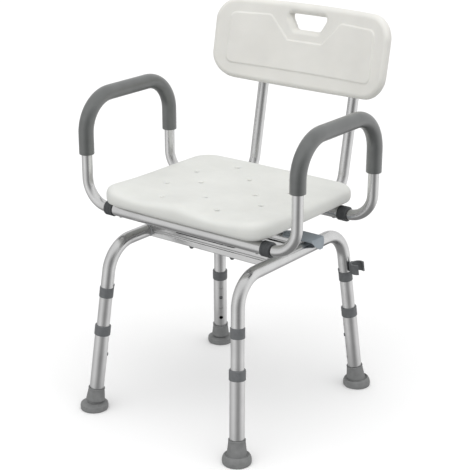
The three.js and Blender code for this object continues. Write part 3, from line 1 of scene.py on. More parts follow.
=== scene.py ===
# %% [markdown]
# # A swivel bath seat
# The frame from the CAD part is loaded first. It fixes every size and every joint, and the cells
# below dress it: each hard CAD solid gets a smoother piece on the same lines, and the fasteners,
# seams and finishes that a CAD part goes without.

# %% Load the frame
import math
import random

import bmesh
import bpy
from mathutils import Matrix, Vector


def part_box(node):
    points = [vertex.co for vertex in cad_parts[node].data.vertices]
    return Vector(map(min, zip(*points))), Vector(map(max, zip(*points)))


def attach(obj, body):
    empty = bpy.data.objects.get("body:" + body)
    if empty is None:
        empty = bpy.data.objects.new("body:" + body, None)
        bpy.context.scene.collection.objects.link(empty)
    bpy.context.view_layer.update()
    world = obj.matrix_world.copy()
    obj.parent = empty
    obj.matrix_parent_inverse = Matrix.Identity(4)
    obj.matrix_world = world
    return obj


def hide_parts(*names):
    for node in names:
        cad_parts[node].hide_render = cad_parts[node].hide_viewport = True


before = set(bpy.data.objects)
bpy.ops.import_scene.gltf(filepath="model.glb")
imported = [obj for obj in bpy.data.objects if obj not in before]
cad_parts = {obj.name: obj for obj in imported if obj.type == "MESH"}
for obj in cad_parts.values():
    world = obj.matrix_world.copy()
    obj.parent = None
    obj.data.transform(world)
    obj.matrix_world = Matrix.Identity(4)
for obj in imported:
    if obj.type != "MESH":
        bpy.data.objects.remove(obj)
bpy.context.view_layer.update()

# %% [markdown]
# The real seat is drawn in millimetres from one zero: the swivel's axis on the floor. The frame is
# in metres with another zero, so one matrix takes every finished piece across. Its shift is
# measured on the swivel plate, whose middle is the axis.

# %% Millimetres and the swivel's axis
MM = 0.001
plate_low, plate_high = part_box("upper_swivel_plate")
AXIS_Y = (plate_low.y + plate_high.y) / 2
TO_FRAME = Matrix.Translation((0, AXIS_Y, 0)) @ Matrix.Scale(MM, 4)
print("swivel axis at y =", round(AXIS_Y, 5))

# %% [markdown]
# Every aluminium tube here starts as a ring. Extruding the ring draws a straight run and spinning
# it about a hinge draws a bend, which is also how a tube bender works. A skin modifier or a curve
# would be quicker, but neither keeps an exact wall and an exact bend radius.

# %% Rings, runs and bends
def edges_of(geom):
    return [g for g in geom if isinstance(g, bmesh.types.BMEdge)]


def verts_of(geom):
    return [g for g in geom if isinstance(g, bmesh.types.BMVert)]


def facing(way):
    """Turns +Z to the way given."""
    return Vector((0, 0, 1)).rotation_difference(Vector(way)).to_matrix().to_4x4()


def ring(bm, centre, way, radius, sides):
    made = bmesh.ops.create_circle(bm, cap_ends=False, radius=radius, segments=sides)
    bmesh.ops.transform(bm, matrix=Matrix.Translation(centre) @ facing(way), verts=made["verts"])
    return list({e for v in made["verts"] for e in v.link_edges})


def pull(bm, edges, step):
    made = bmesh.ops.extrude_edge_only(bm, edges=edges)["geom"]
    moved = set(verts_of(made))
    bmesh.ops.translate(bm, verts=list(moved), vec=step)
    return [e for e in edges_of(made) if e.verts[0] in moved and e.verts[1] in moved]


def run_along(bm, edges, corners, rounds):
    """Takes a ring along a line whose corners are bent, and returns the ring at the far end."""
    at = Vector(corners[0])
    for i in range(1, len(corners)):
        corner = Vector(corners[i])
        way = (corner - at).normalized()
        if i > len(rounds):
            edges = pull(bm, edges, corner - at)
            at = corner
            continue
        onward = (Vector(corners[i + 1]) - corner).normalized()
        turn, radius = way.angle(onward), rounds[i - 1]
        reach = radius * math.tan(turn / 2)
        edges = pull(bm, edges, corner - way * reach - at)
        hinge = way.cross(onward).normalized()
        bend = bmesh.ops.spin(
            bm, geom=list({v for e in edges for v in e.verts}) + edges, axis=hinge, angle=turn,
            cent=corner - way * reach + hinge.cross(way) * radius,
            steps=max(4, math.ceil(math.degrees(turn) / 5)), use_duplicate=False,
        )
        edges = edges_of(bend["geom_last"])
        at = corner + onward * reach
    return edges


def resized(bm, edges, centre, factor):
    """Extrudes a ring in its own plane, to a smaller or a larger one round the same centre."""
    made = bmesh.ops.extrude_edge_only(bm, edges=edges)["geom"]
    grown = set(verts_of(made))
    for vert in grown:
        vert.co = Vector(centre).lerp(vert.co, factor)
    return [e for e in edges_of(made) if e.verts[0] in grown and e.verts[1] in grown]


def tube(corners, rounds, outer, bore, sides=40):
    """A tube with a real wall: the ring goes out along the line, turns in, and comes back inside."""
    bm = bmesh.new()
    way = (Vector(corners[1]) - Vector(corners[0])).normalized()
    edges = run_along(bm, ring(bm, corners[0], way, outer, sides), corners, rounds)
    edges = resized(bm, edges, corners[-1], bore / outer)
    edges = run_along(bm, edges, corners[::-1], rounds[::-1])
    resized(bm, edges, corners[0], outer / bore)
    bmesh.ops.remove_doubles(bm, verts=bm.verts, dist=0.01)
    bmesh.ops.recalc_face_normals(bm, faces=bm.faces)
    return bm


# %% [markdown]
# Feet, collars, pins and screws are round, so each is half a section spun once round its own axis.
# The spin merges its ends, and the vertices that meet on the axis are merged too. Blocks and flat
# plates start from a cube or one face. Corners are then softened with a bevel, because a real edge
# always catches a thin line of light.

# %% Spun shapes, blocks, plates and soft edges
def spun(profile, sides=40, matrix=None):
    """A closed (radius, height) section, spun about Z and then put in its place."""
    bm = bmesh.new()
    verts = [bm.verts.new((r, 0, z)) for r, z in profile]
    edges = [bm.edges.new(pair) for pair in zip(verts, verts[1:] + verts[:1])]
    bmesh.ops.spin(
        bm, geom=verts + edges, cent=(0, 0, 0), axis=(0, 0, 1), angle=2 * math.pi, steps=sides,
        use_merge=True, use_duplicate=False,
    )
    bmesh.ops.remove_doubles(bm, verts=bm.verts, dist=1e-4)
    bmesh.ops.dissolve_degenerate(bm, edges=bm.edges, dist=1e-4)
    flat = [f for f in bm.faces if f.calc_area() < 1e-7]
    bmesh.ops.delete(bm, geom=flat, context="FACES")
    loose = [e for e in bm.edges if not e.link_faces]
    bmesh.ops.delete(bm, geom=loose, context="EDGES")
    bmesh.ops.recalc_face_normals(bm, faces=bm.faces)
    return moved(bm, matrix)


def rod(radius, low, high, sides, matrix=None):
    """A plain round bar along Z. Most of them are tools that cut a round hole."""
    return spun([(0, low), (radius, low), (radius, high), (0, high)], sides, matrix)


def moved(bm, matrix):
    if matrix is not None:
        bmesh.ops.transform(bm, matrix=matrix, verts=bm.verts)
    return bm


def block(x, y, z, matrix=None):
    """A block from its limits in x, y and z."""
    bm = bmesh.new()
    place = Matrix.Translation([(a + b) / 2 for a, b in (x, y, z)])
    bmesh.ops.create_cube(bm, size=1, matrix=place @ Matrix.Diagonal([b - a for a, b in (x, y, z)] + [1]))
    return moved(bm, matrix)


def plate(outline, low, high, matrix=None):
    """A flat outline, raised from one height to another."""
    bm = bmesh.new()
    face = bm.faces.new([bm.verts.new((x, y, low)) for x, y in outline])
    raised = verts_of(bmesh.ops.extrude_face_region(bm, geom=[face], use_keep_orig=True)["geom"])
    bmesh.ops.translate(bm, verts=raised, vec=(0, 0, high - low))
    bmesh.ops.recalc_face_normals(bm, faces=bm.faces)
    return moved(bm, matrix)


def sharper_than(bm, angle):
    return [e for e in bm.edges if len(e.link_faces) == 2 and e.calc_face_angle(0) > math.radians(angle)]


def rounded(bm, geom, width, segments, affect="EDGES"):
    bmesh.ops.bevel(
        bm, geom=geom, offset=width, offset_type="OFFSET", segments=segments, profile=0.5,
        affect=affect, clamp_overlap=True, material=-1,
    )
    return bm


def soften(bm, width, angle=35, segments=2):
    """Takes the edge off every corner sharper than the angle, as deburring does."""
    return rounded(bm, sharper_than(bm, angle), width, segments)


def together(parts):
    """Several shapes as one mesh."""
    whole = bmesh.new()
    for part in parts:
        mesh = bpy.data.meshes.new("part")
        part.to_mesh(mesh)
        part.free()
        whole.from_mesh(mesh)
        bpy.data.meshes.remove(mesh)
    return whole


# %% [markdown]
# Drilled and moulded holes need a boolean. Both meshes become objects for a moment, the modifier
# cuts one with the other, and the result goes back into a bmesh. Where two surfaces
# lie in one place, the result can have slivers and gaps, and other ones each time, so the tools
# that cut keep clear of the walls. Two unions below don't keep clear, and are faulty: the sleeve of
# the hose clip gets lost, and the rear seat tube has gaps at its two sockets.

# %% Cutting and joining
def as_object(bm, name):
    mesh = bpy.data.meshes.new(name)
    bm.to_mesh(mesh)
    bm.free()
    obj = bpy.data.objects.new(name, mesh)
    bpy.context.scene.collection.objects.link(obj)
    return obj


def carve(bm, tool, how="DIFFERENCE"):
    body, cutter = as_object(bm, "body"), as_object(tool, "cutter")
    step = body.modifiers.new("cut", "BOOLEAN")
    step.object, step.operation, step.solver = cutter, how, "EXACT"
    graph = bpy.context.evaluated_depsgraph_get()
    cut = body.evaluated_get(graph)
    result = bmesh.new()
    result.from_mesh(cut.to_mesh())
    cut.to_mesh_clear()
    for obj in (body, cutter):
        mesh = obj.data
        bpy.data.objects.remove(obj)
        bpy.data.meshes.remove(mesh)
    return result


# %% [markdown]
# A finished piece is moved into the frame's metres, rid of slivers under a thousandth of a
# millimetre that cuts leave, shaded smooth except at its real corners, and rides on one body of the
# frame. Where it stands for a CAD solid, the solid is hidden.

# %% Showing a piece
def show(bm, name, body, finish, stands_for=(), angle=38):
    bmesh.ops.transform(bm, matrix=TO_FRAME, verts=bm.verts)
    bmesh.ops.dissolve_degenerate(bm, edges=bm.edges, dist=1e-6)
    obj = as_object(bm, name)
    obj.data.shade_smooth()
    obj.data.set_sharp_from_angle(angle=math.radians(angle))
    obj.data.materials.append(finish)
    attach(obj, body)
    if stands_for:
        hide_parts(*([stands_for] if isinstance(stands_for, str) else stands_for))
    print(name, len(obj.data.polygons), "faces")
    return obj


# %% [markdown]
# ## Finishes
# A finish is built from small node graphs. One function adds a node, sets it and links it, so a
# graph reads as a list of steps. Colours are read off as sRGB hex and turned to linear by one
# function, because the shader works in linear light.

# %% Colour and node helpers
def linear(code):
    parts = [int(code[i:i + 2], 16) / 255 for i in (1, 3, 5)]
    return [c / 12.92 if c <= 0.04045 else ((c + 0.055) / 1.055) ** 2.4 for c in parts] + [1.0]


def node(tree, kind, settings=None, links=None):
    """Adds a node. Settings are properties or input values, links are input names to sockets."""
    made = tree.nodes.new(kind)
    for key, value in (settings or {}).items():
        if key in made.inputs:
            made.inputs[key].default_value = value
        else:
            setattr(made, key, value)
    for key, socket in (links or {}).items():
        tree.links.new(socket, made.inputs[key])
    return made


def new_finish(name, settings):
    finish = bpy.data.materials.new(name)
    finish.use_nodes = True
    shader = finish.node_tree.nodes["Principled BSDF"]
    for key, value in settings.items():
        shader.inputs[key].default_value = value
    return finish, finish.node_tree, shader


def grain(tree, size_mm, stretch=(1, 1, 1), detail=3.0, rough=0.5):
    """Noise whose lumps are about size_mm across, drawn out along an axis by its stretch."""
    where = node(tree, "ShaderNodeTexCoord")
    scale = node(tree, "ShaderNodeMapping", {"Scale": stretch}, {"Vector": where.outputs["Object"]})
    return node(
        tree, "ShaderNodeTexNoise", {"Scale": 1 / (size_mm * MM), "Detail": detail, "Roughness": rough},
        {"Vector": scale.outputs["Vector"]},
    )


def spread(tree, source, low, high, start=0.3, end=0.7):
    """Takes a noise from start..end to low..high."""
    made = node(
        tree, "ShaderNodeMapRange",
        {"From Min": start, "From Max": end, "To Min": low, "To Max": high}, {"Value": source},
    )
    return made.outputs["Result"]


def tint(tree, source, first, second, start=0.3, end=0.7):
    """Two near colours, mixed by a noise."""
    ramp = node(tree, "ShaderNodeValToRGB", links={"Fac": source})
    for stop, place, code in zip(ramp.color_ramp.elements, (start, end), (first, second)):
        stop.position, stop.color = place, linear(code)
    return ramp.outputs["Color"]


def bumps(tree, source, height_mm, strength=1.0, under=None):
    links = {"Height": source}
    if under is not None:
        links["Normal"] = under
    made = node(tree, "ShaderNodeBump", {"Strength": strength, "Distance": height_mm * MM}, links)
    return made.outputs["Normal"]


# %% [markdown]
# The tubes are extruded aluminium with a satin clear anodise. Anodising leaves the metal's own
# colour under a clear skin, so it is a metal with no coat, and the drawing die leaves faint lines
# along the tube. The lines are far finer than a pixel, so they are drawn 0.5 mm apart. The middle
# and lower leg tubes are blasted before the anodising, which makes what they mirror softer.

# %% Anodised aluminium
def satin_anodised(name, stretch, smooth=0.2, dull=0.26):
    finish, tree, shader = new_finish(name, {"Metallic": 1.0})
    lines = grain(tree, 0.5, stretch, detail=2)
    clouds = grain(tree, 35, detail=2)
    # A pale neutral grey, with hardly seen clouds from the bath
    tree.links.new(tint(tree, clouds.outputs["Fac"], "#d4d4d4", "#dedede"), shader.inputs["Base Color"])
    tree.links.new(spread(tree, lines.outputs["Fac"], smooth, dull), shader.inputs["Roughness"])
    tree.links.new(bumps(tree, lines.outputs["Fac"], 0.01, 0.08), shader.inputs["Normal"])
    return finish


aluminium_up = satin_anodised("anodised_aluminium_drawn_upright", (1, 1, 0.02))
aluminium_matt = satin_anodised("anodised_aluminium_blasted_upright", (1, 1, 0.02), 0.36, 0.42)
aluminium_across = satin_anodised("anodised_aluminium_drawn_across", (0.02, 1, 1))
aluminium_deep = satin_anodised("anodised_aluminium_drawn_deep", (1, 0.02, 1))

# %% [markdown]
# The seat and the backrest are blow-moulded polyethylene. The melt sets against a blasted mould,
# which gives it a dull, fine pebble and a waxy, slightly see-through edge. The pebbles are about
# 0.4 mm across on the real sheet and are drawn 0.9 mm across so that they show.

# %% Blow-moulded polyethylene
def blow_moulded(name, first, second, pebble_mm, pebble_deep):
    settings = {"IOR": 1.51, "Subsurface Weight": 0.08, "Subsurface Scale": 0.002}
    finish, tree, shader = new_finish(name, settings)
    shader.inputs["Subsurface Radius"].default_value = (1.0, 0.9, 0.75)
    clouds = grain(tree, 60, detail=2)
    pebbles = grain(tree, pebble_mm, detail=1.5)
    flow = grain(tree, 14, detail=2)
    tree.links.new(tint(tree, clouds.outputs["Fac"], first, second), shader.inputs["Base Color"])
    tree.links.new(spread(tree, flow.outputs["Fac"], 0.44, 0.56), shader.inputs["Roughness"])
    tree.links.new(bumps(tree, pebbles.outputs["Fac"], pebble_deep, 0.6), shader.inputs["Normal"])
    return finish


seat_shell_finish = blow_moulded("polyethylene_blow_moulded_seat", "#d9dad6", "#dfe0dc", 0.9, 0.05)
back_shell_finish = blow_moulded("polyethylene_blow_moulded_back", "#e0dfda", "#e6e5e0", 1.1, 0.08)

# %% [markdown]
# Collars, the hose clip and the tube plugs are injection-moulded polypropylene in two dark greys,
# the darker one for the arm collars and the plugs. Its skin is a little glossier than the
# blow-moulded shells, with faint flow lines from the gate.

# %% Injection-moulded polypropylene
def moulded_grey(name, first, second):
    finish, tree, shader = new_finish(name, {"IOR": 1.49})
    flow = grain(tree, 6, detail=2)
    pebbles = grain(tree, 0.6, detail=1)
    tree.links.new(tint(tree, flow.outputs["Fac"], first, second), shader.inputs["Base Color"])
    tree.links.new(spread(tree, flow.outputs["Fac"], 0.38, 0.52), shader.inputs["Roughness"])
    tree.links.new(bumps(tree, pebbles.outputs["Fac"], 0.03, 0.5), shader.inputs["Normal"])
    return finish


collar_finish = moulded_grey("polypropylene_grey_moulded", "#616365", "#6b6d6f")
arm_collar_finish = moulded_grey("polypropylene_dark_moulded", "#3d3f41", "#47494b")
plug_finish = moulded_grey("polypropylene_dark_plug", "#3a3c3e", "#434547")

# %% [markdown]
# The grips are closed-cell foam sleeves. The skin that the mould leaves on the foam is smooth, so it
# gets a dull coat: a soft highlight runs along the top and the sides stay dark. It shows cells of
# about 0.5 mm, drawn 0.8 mm across here.

# %% Nitrile foam
def foam_sleeve():
    settings = {"Specular IOR Level": 1.0, "Coat Weight": 1.0, "Coat Roughness": 0.34}
    finish, tree, shader = new_finish("nitrile_foam_sleeve", settings)
    clouds = grain(tree, 25, detail=2)
    cells = grain(tree, 0.8, detail=1.5)
    tree.links.new(tint(tree, clouds.outputs["Fac"], "#4b4e4d", "#555857"), shader.inputs["Base Color"])
    tree.links.new(spread(tree, cells.outputs["Fac"], 0.28, 0.38), shader.inputs["Roughness"])
    tree.links.new(bumps(tree, cells.outputs["Fac"], 0.1, 0.3), shader.inputs["Normal"])
    return finish


grip_finish = foam_sleeve()

# %% [markdown]
# The feet are moulded rubber, matt and a little dusty where they flare.

# %% Moulded rubber
def foot_rubber():
    finish, tree, shader = new_finish("rubber_grey_moulded", {"IOR": 1.52})
    dust = grain(tree, 12, detail=3)
    skin = grain(tree, 0.7, detail=1.5)
    tree.links.new(tint(tree, dust.outputs["Fac"], "#747575", "#828383"), shader.inputs["Base Color"])
    tree.links.new(spread(tree, dust.outputs["Fac"], 0.56, 0.7), shader.inputs["Roughness"])
    tree.links.new(bumps(tree, skin.outputs["Fac"], 0.06, 0.5), shader.inputs["Normal"])
    return finish


rubber_finish = foot_rubber()

# %% [markdown]
# The swivel plates are pressed steel with a black dipped coat, the lever is steel with a blue-grey
# powder coat, the snap buttons and the nuts are dull nickel, and the screws are zinc-plated.

# %% Coated and plated steel
def steel(name, metallic, first, second, roughness, lump_mm):
    finish, tree, shader = new_finish(name, {"Metallic": metallic})
    wear = grain(tree, lump_mm, detail=3)
    fine = grain(tree, 0.5, detail=1)
    tree.links.new(tint(tree, wear.outputs["Fac"], first, second), shader.inputs["Base Color"])
    tree.links.new(spread(tree, wear.outputs["Fac"], *roughness), shader.inputs["Roughness"])
    tree.links.new(bumps(tree, fine.outputs["Fac"], 0.02, 0.4), shader.inputs["Normal"])
    return finish


black_plate = steel("steel_black_dipped", 0.0, "#1b1c1d", "#252627", (0.35, 0.5), 9)
lever_coat = steel("steel_blue_grey_powder_coat", 0.0, "#98a2aa", "#a3acb3", (0.36, 0.48), 14)
dull_nickel = steel("steel_dull_nickel", 1.0, "#77797b", "#86888a", (0.3, 0.42), 5)
bright_steel = steel("steel_zinc_plated", 1.0, "#b9bcbf", "#c8cacc", (0.22, 0.32), 5)
weld_aluminium = steel("aluminium_weld_bead", 1.0, "#c3c5c7", "#d6d8d9", (0.3, 0.45), 3)

# %% [markdown]
# ## The base
# Two bent tubes make the four-legged base. Each is one ring, run down the back leg's line, over
# the top and down the front leg. The legs splay outward and the numbers are the CAD part's.

# %% Base tubes
TUBE_R, BORE_R = 12.7, 11.1
GAP = 0.3  # between two pieces that fit into each other
TOP_X, TOP_Y, TOP_Z, BEND = 153.7, 169.65, 345.4, 60
LEAN_X, LEAN_Y = 0.077, 0.107
JOINT_Z = 249  # where a base tube ends and the middle leg tube comes out
HOLE_R, UPPER_HOLE_Z = 4.1, 263
FOOT_X, FOOT_Y = TOP_X + TOP_Z * LEAN_X, TOP_Y + TOP_Z * LEAN_Y
STRETCH = math.sqrt(1 + LEAN_X ** 2 + LEAN_Y ** 2)
LEGS = {
    "front_right": (1, -1, "leg_front_right"), "front_left": (-1, -1, "leg_front_left"),
    "back_right": (1, 1, "leg_back_right"), "back_left": (-1, 1, "leg_back_left"),
}
SIDE_WORDS = {"left": -1, "right": 1}


def on_leg(s, t, height):
    return Vector((s * (FOOT_X - height * LEAN_X), t * (FOOT_Y - height * LEAN_Y), height))


def leg_frame(s, t):
    """Z up along the leg from the floor, X outward."""
    z = Vector((-s * LEAN_X, -t * LEAN_Y, 1)).normalized()
    x = Vector((s, 0, LEAN_X)).normalized()
    turn = Matrix((x, z.cross(x), z)).transposed().to_4x4()
    return Matrix.Translation((s * FOOT_X, t * FOOT_Y, 0)) @ turn


def up(height):
    """The length up a leaning leg that reaches a height above the floor."""
    return height * STRETCH


def inward(s, t):
    """The turn about the leg at which its buttons look into the base."""
    return math.atan2(-t * s, -1)


def drill(radius, start, end, angle, height, matrix):
    """A drill that points along X, turned about Z, at a height."""
    across = Matrix.Rotation(angle, 4, "Z") @ Matrix.Translation((0, 0, height))
    return rod(radius, start, end, 24, matrix @ across @ Matrix.Rotation(math.pi / 2, 4, "Y"))


def button_hole(angle, height, matrix, end=14):
    """A hole through one wall of a tube only, for a snap button."""
    return drill(HOLE_R, 4, end, angle, height, matrix)


for word, s in SIDE_WORDS.items():
    corners = [
        on_leg(s, 1, JOINT_Z), (s * TOP_X, TOP_Y, TOP_Z),
        (s * TOP_X, -TOP_Y, TOP_Z), on_leg(s, -1, JOINT_Z),
    ]
    bent = tube(corners, [BEND, BEND], TUBE_R, BORE_R)
    holes = [button_hole(inward(s, t), up(UPPER_HOLE_Z), leg_frame(s, t)) for t in (1, -1)]
    bent = carve(bent, together(holes))
    show(bent, word + "_base_tube", "base", aluminium_deep, word + "_frame_tube")

# %% [markdown]
# The two crossbars are hollow extrusions with a groove down each tall face. Their ends are sawn to
# the tube's round, and a stacked weld bead follows that saw cut.

# %% Crossbars and their welds
BAR_Y, BAR_HALF, BAR_LOW, BAR_HIGH, BAR_WALL = 51.5, 13.5, 335.5, 360.5, 2
GROOVE_LOW, GROOVE_HIGH, GROOVE_DEEP = 346.25, 351.75, 1.6
PIN_X, PIN_Z, PIN_HOLE_R = 128, 354, 2.9
BLOBS, BLOB_STEP = 13, 1.75  # of a weld bead, up one side of a bar


def crossbar(name, y, extra):
    h, g, low, high = BAR_HALF, GROOVE_DEEP, BAR_LOW, BAR_HIGH
    half = [
        (h, low), (h, GROOVE_LOW), (h - g, GROOVE_LOW + g),
        (h - g, GROOVE_HIGH - g), (h, GROOVE_HIGH), (h, high),
    ]
    outline = half + [(-v, z) for v, z in reversed(half)]
    # An outline of (y, z) points, raised along X
    endways = Matrix(((0, 0, 1, 0), (1, 0, 0, y), (0, 1, 0, 0), (0, 0, 0, 1)))
    bar = soften(plate(outline, -TOP_X, TOP_X, endways), 1.0, segments=3)
    side = g + BAR_WALL
    hollow = block(
        (-2 * TOP_X, 2 * TOP_X), (y - h + side, y + h - side), (low + BAR_WALL, high - BAR_WALL),
    )
    copes = []
    for s in (-1, 1):
        round_cut = Matrix.Translation((s * TOP_X, y, TOP_Z)) @ Matrix.Rotation(math.pi / 2, 4, "X")
        copes.append(rod(TUBE_R + GAP, -80, 80, 40, round_cut))
        copes.append(block(sorted((s * TOP_X, s * TOP_X * 2)), (y - 80, y + 80), (low - 5, high + 5)))
    for tool in [hollow] + copes + extra:
        bar = carve(bar, tool)
    show(bar, name.replace("crossbar", "grooved_bar"), "base", aluminium_across, name)


def bead(points, radius, seed):
    """A weld bead: one flattened blob beside the last, like a row of fallen coins."""
    rng = random.Random(seed)
    blobs = []
    for at in points:
        blob = bmesh.new()
        size = radius * rng.uniform(0.85, 1.1)
        bmesh.ops.create_icosphere(blob, subdivisions=2, radius=size, matrix=Matrix.Translation(at))
        blobs.append(blob)
    return together(blobs)


pin_hole = drill(PIN_HOLE_R, -30, 30, math.pi / 2, 0, Matrix.Translation((PIN_X, BAR_Y, PIN_Z)))
crossbar("front_crossbar", -BAR_Y, [])
crossbar("rear_crossbar", BAR_Y, [pin_hole])
for word, s in SIDE_WORDS.items():
    for end, y in (("front", -BAR_Y), ("rear", BAR_Y)):
        line = []
        for face in (-BAR_HALF, BAR_HALF):
            for k in range(BLOBS):
                z = BAR_LOW + 1 + k * BLOB_STEP
                reach = math.sqrt(max(0, TUBE_R ** 2 - (z - TOP_Z) ** 2))
                line.append((s * (TOP_X - reach - 0.2), y + face, z))
        show(bead(line, 1.6, line[0][1]), f"{word}_{end}_weld", "base", weld_aluminium)

# %% [markdown]
# ## The legs
# A leg is three tubes, one in another: the base tube, the middle tube that plugs into it and the
# lower tube that slides on the middle one. Collars hide the joints, and the holes at the inner side
# set the height. They are drilled for real, so the middle tube shows through them.

# %% Middle and lower tubes with their collars
LOWER_R, LOWER_BORE_R, LOWER_END, LOWER_TOP = 14.3, 13.1, 8, 176
HOLE_Z, PITCH = 118, 25.4
NECK_R, NECK_BORE_R = 10.7, 9.3  # the middle tube's upper end, drawn in to fit the base tube
COLLAR_R, COLLAR_LOW, COLLAR_HIGH, COLLAR_SOFT = 13.9, 239, 259, 0.5


def middle_section():
    outside = [(TUBE_R, 78), (TUBE_R, 245.2), (12.2, 246.2), (11.1, 248.2), (NECK_R, 248.9), (NECK_R, 288)]
    inside = [(NECK_BORE_R, 288), (NECK_BORE_R, 248.7), (BORE_R, 245.5), (BORE_R, 78)]
    return [(r, up(height)) for r, height in outside + inside]


def upper_collar_section():
    inner, outer, low, high = TUBE_R + GAP, COLLAR_R, up(COLLAR_LOW), up(COLLAR_HIGH)
    return [
        (inner, low), (outer - COLLAR_SOFT, low), (outer, low + COLLAR_SOFT),
        (outer, high - COLLAR_SOFT), (outer - COLLAR_SOFT, high), (inner, high),
    ]


def lower_collar_section():
    """Rides on the lower tube's end and closes down on the middle tube."""
    outside = [(15.9, 177.6), (15.7, 178.8), (15.1, 179.7), (14.2, 180), (TUBE_R + GAP, 180)]
    shoulder = up(LOWER_TOP) + GAP
    return [
        (LOWER_R + GAP, up(160)), (15.3, up(160)), (15.9, up(160) + 0.6),
        *[(r, up(height)) for r, height in outside],
        (TUBE_R + GAP, shoulder), (LOWER_R + GAP, shoulder),
    ]


for leg, (s, t, body) in LEGS.items():
    place, angle = leg_frame(s, t), inward(s, t)
    holes = [button_hole(angle, up(height), place) for height in (UPPER_HOLE_Z, HOLE_Z)]
    middle = carve(spun(middle_section(), 40, place), together(holes))
    show(middle, leg + "_middle_leg", "base", aluminium_matt, leg + "_middle_tube")
    upper = spun(upper_collar_section(), 48, place)
    show(upper, leg + "_upper_ring", "base", collar_finish, leg + "_upper_collar")

    wall = [(LOWER_R, LOWER_END), (LOWER_R, LOWER_TOP), (LOWER_BORE_R, LOWER_TOP), (LOWER_BORE_R, LOWER_END)]
    lower = soften(spun([(r, up(height)) for r, height in wall], 40, place), 0.3, 60)
    rows = [button_hole(angle, up(HOLE_Z) + k * PITCH, place, 17) for k in range(-2, 2)]
    lower = carve(lower, together(rows))
    show(lower, leg + "_lower_leg", body, aluminium_matt, leg + "_lower_tube")
    collar = spun(lower_collar_section(), 48, place)
    show(collar, leg + "_lower_ring", body, collar_finish, leg + "_lower_collar")

# %% [markdown]
# The rubber foot is upright where it stands and leans with the leg above its rim. It is spun
# upright and then sheared: the share of the lean grows smoothly across the crease. The bore that
# takes the leg leans as a whole.

# %% Feet
CREASE_LOW, CREASE_HIGH, FOOT_BORE_R = 12, 20, 14.6


def foot_section():
    sleeve = [(FOOT_BORE_R, 45.2), (15.2, 45.7), (16.0, 45.7), (16.6, 45.2), (16.6, 43.4), (16.2, 42.4)]
    taper = [(16.3 + (19.2 - 16.3) * k / 6, 42.0 - (42.0 - 16.4) * k / 6) for k in range(1, 7)]
    dish = [(19.5, 15.2), (20.2, 14.9), (21.2, 15.4), (22.4, 16.6), (23.4, 17.0), (24.6, 16.5), (25.6, 15.2)]
    skirt = [(26.6, 13.4), (27.3, 11.4), (27.8, 9.0), (28.0, 7.0), (27.9, 4.0), (27.6, 1.4), (27.0, 0.4)]
    tread = [
        (26.2, 0.0), (22, 0), (21.5, 0.6), (19, 0.6), (18.5, 0), (14, 0), (13.5, 0.6), (11, 0.6), (10.5, 0),
    ]
    inside = [(6, 0), (5.5, 0.6), (0, 0.6), (0, 7.6), (FOOT_BORE_R, 7.6)]
    return [(r, up(height)) for r, height in sleeve] + taper + dish + skirt + tread + inside


def ease(value, start, end):
    """A share that grows smoothly from 0 to 1 between start and end."""
    share = min(1, max(0, (value - start) / (end - start)))
    return share * share * (3 - 2 * share)


for leg, (s, t, body) in LEGS.items():
    foot = spun(foot_section(), 64)
    lean = leg_frame(s, t)
    lean.translation = (0, 0, 0)
    for vert in foot.verts:
        share = ease(vert.co.z, CREASE_LOW, CREASE_HIGH)
        if vert.co.xy.length < FOOT_BORE_R + 0.4 and vert.co.z > 3:
            share = 1
        vert.co = vert.co.lerp(lean @ vert.co, share)
    moved(foot, Matrix.Translation((s * FOOT_X, t * FOOT_Y, 0)))
    show(foot, leg + "_rubber_foot", body, rubber_finish, leg + "_foot", angle=50)

# %% [markdown]
# A snap button is a pressed dome on a hairpin leaf inside the tube. The leaf hardly shows, but the
# dome does, and it is a separate body because it presses in. A real leaf bends as it does, while
# this one moves as it is, so its far arm stands off the tube's wall by the button's travel.

# %% Snap buttons
LEAF, LEAF_AIR, LEAF_HALF, LEAF_LONG, LEAF_STAND_OFF = 0.9, 0.9, 3.25, 26, 5
DOME_R, DOME_PROUD = 3.7, 2


def snap_button(bore, outer, angle, height, matrix):
    flat = math.cos(math.pi / 12)  # from a faceted CAD tube's corner to its flat
    reach, tip = bore * flat - LEAF_AIR, outer * flat + DOME_PROUD
    base = reach - LEAF / 2
    dome = [
        (0, base), (DOME_R, base), (DOME_R, tip - 1.5), (3.45, tip - 0.8), (2.8, tip - 0.25),
        (1.6, tip - 0.03), (0, tip),
    ]
    across = Matrix.Rotation(angle, 4, "Z") @ Matrix.Translation((0, 0, height))
    head = spun(dome, 32, matrix @ across @ Matrix.Rotation(math.pi / 2, 4, "Y"))
    inside, nose, far, fold = reach - LEAF, 2.2, reach - LEAF_STAND_OFF, LEAF_LONG - LEAF
    leaf = [
        (reach, -6), (reach, 5), (nose, LEAF_LONG), (-nose, LEAF_LONG), (-far, 5), (-far, -6),
        (LEAF - far, -6), (LEAF - far, 5), (LEAF - nose, fold), (nose - LEAF, fold),
        (inside, 5), (inside, -6),
    ]
    spring = plate(leaf, -LEAF_HALF, LEAF_HALF, matrix @ across @ Matrix.Rotation(math.pi / 2, 4, "X"))
    return together([head, spring])


for leg, (s, t, _) in LEGS.items():
    place, angle = leg_frame(s, t), inward(s, t)
    joints = (("upper", NECK_BORE_R, TUBE_R, UPPER_HOLE_Z), ("lower", BORE_R, LOWER_R, HOLE_Z))
    for word, bore, outer, height in joints:
        node_name = f"{leg}_{word}_button"
        made = snap_button(bore, outer, angle, up(height), place)
        show(made, node_name + "_dome", node_name + "_body", dull_nickel, node_name)

# %% [markdown]
# The hose clip is one moulding: a split sleeve that springs over the leg, a web, and an open jaw
# for the shower hose. The sleeve and the jaw are arcs of a section spun part of the way round.

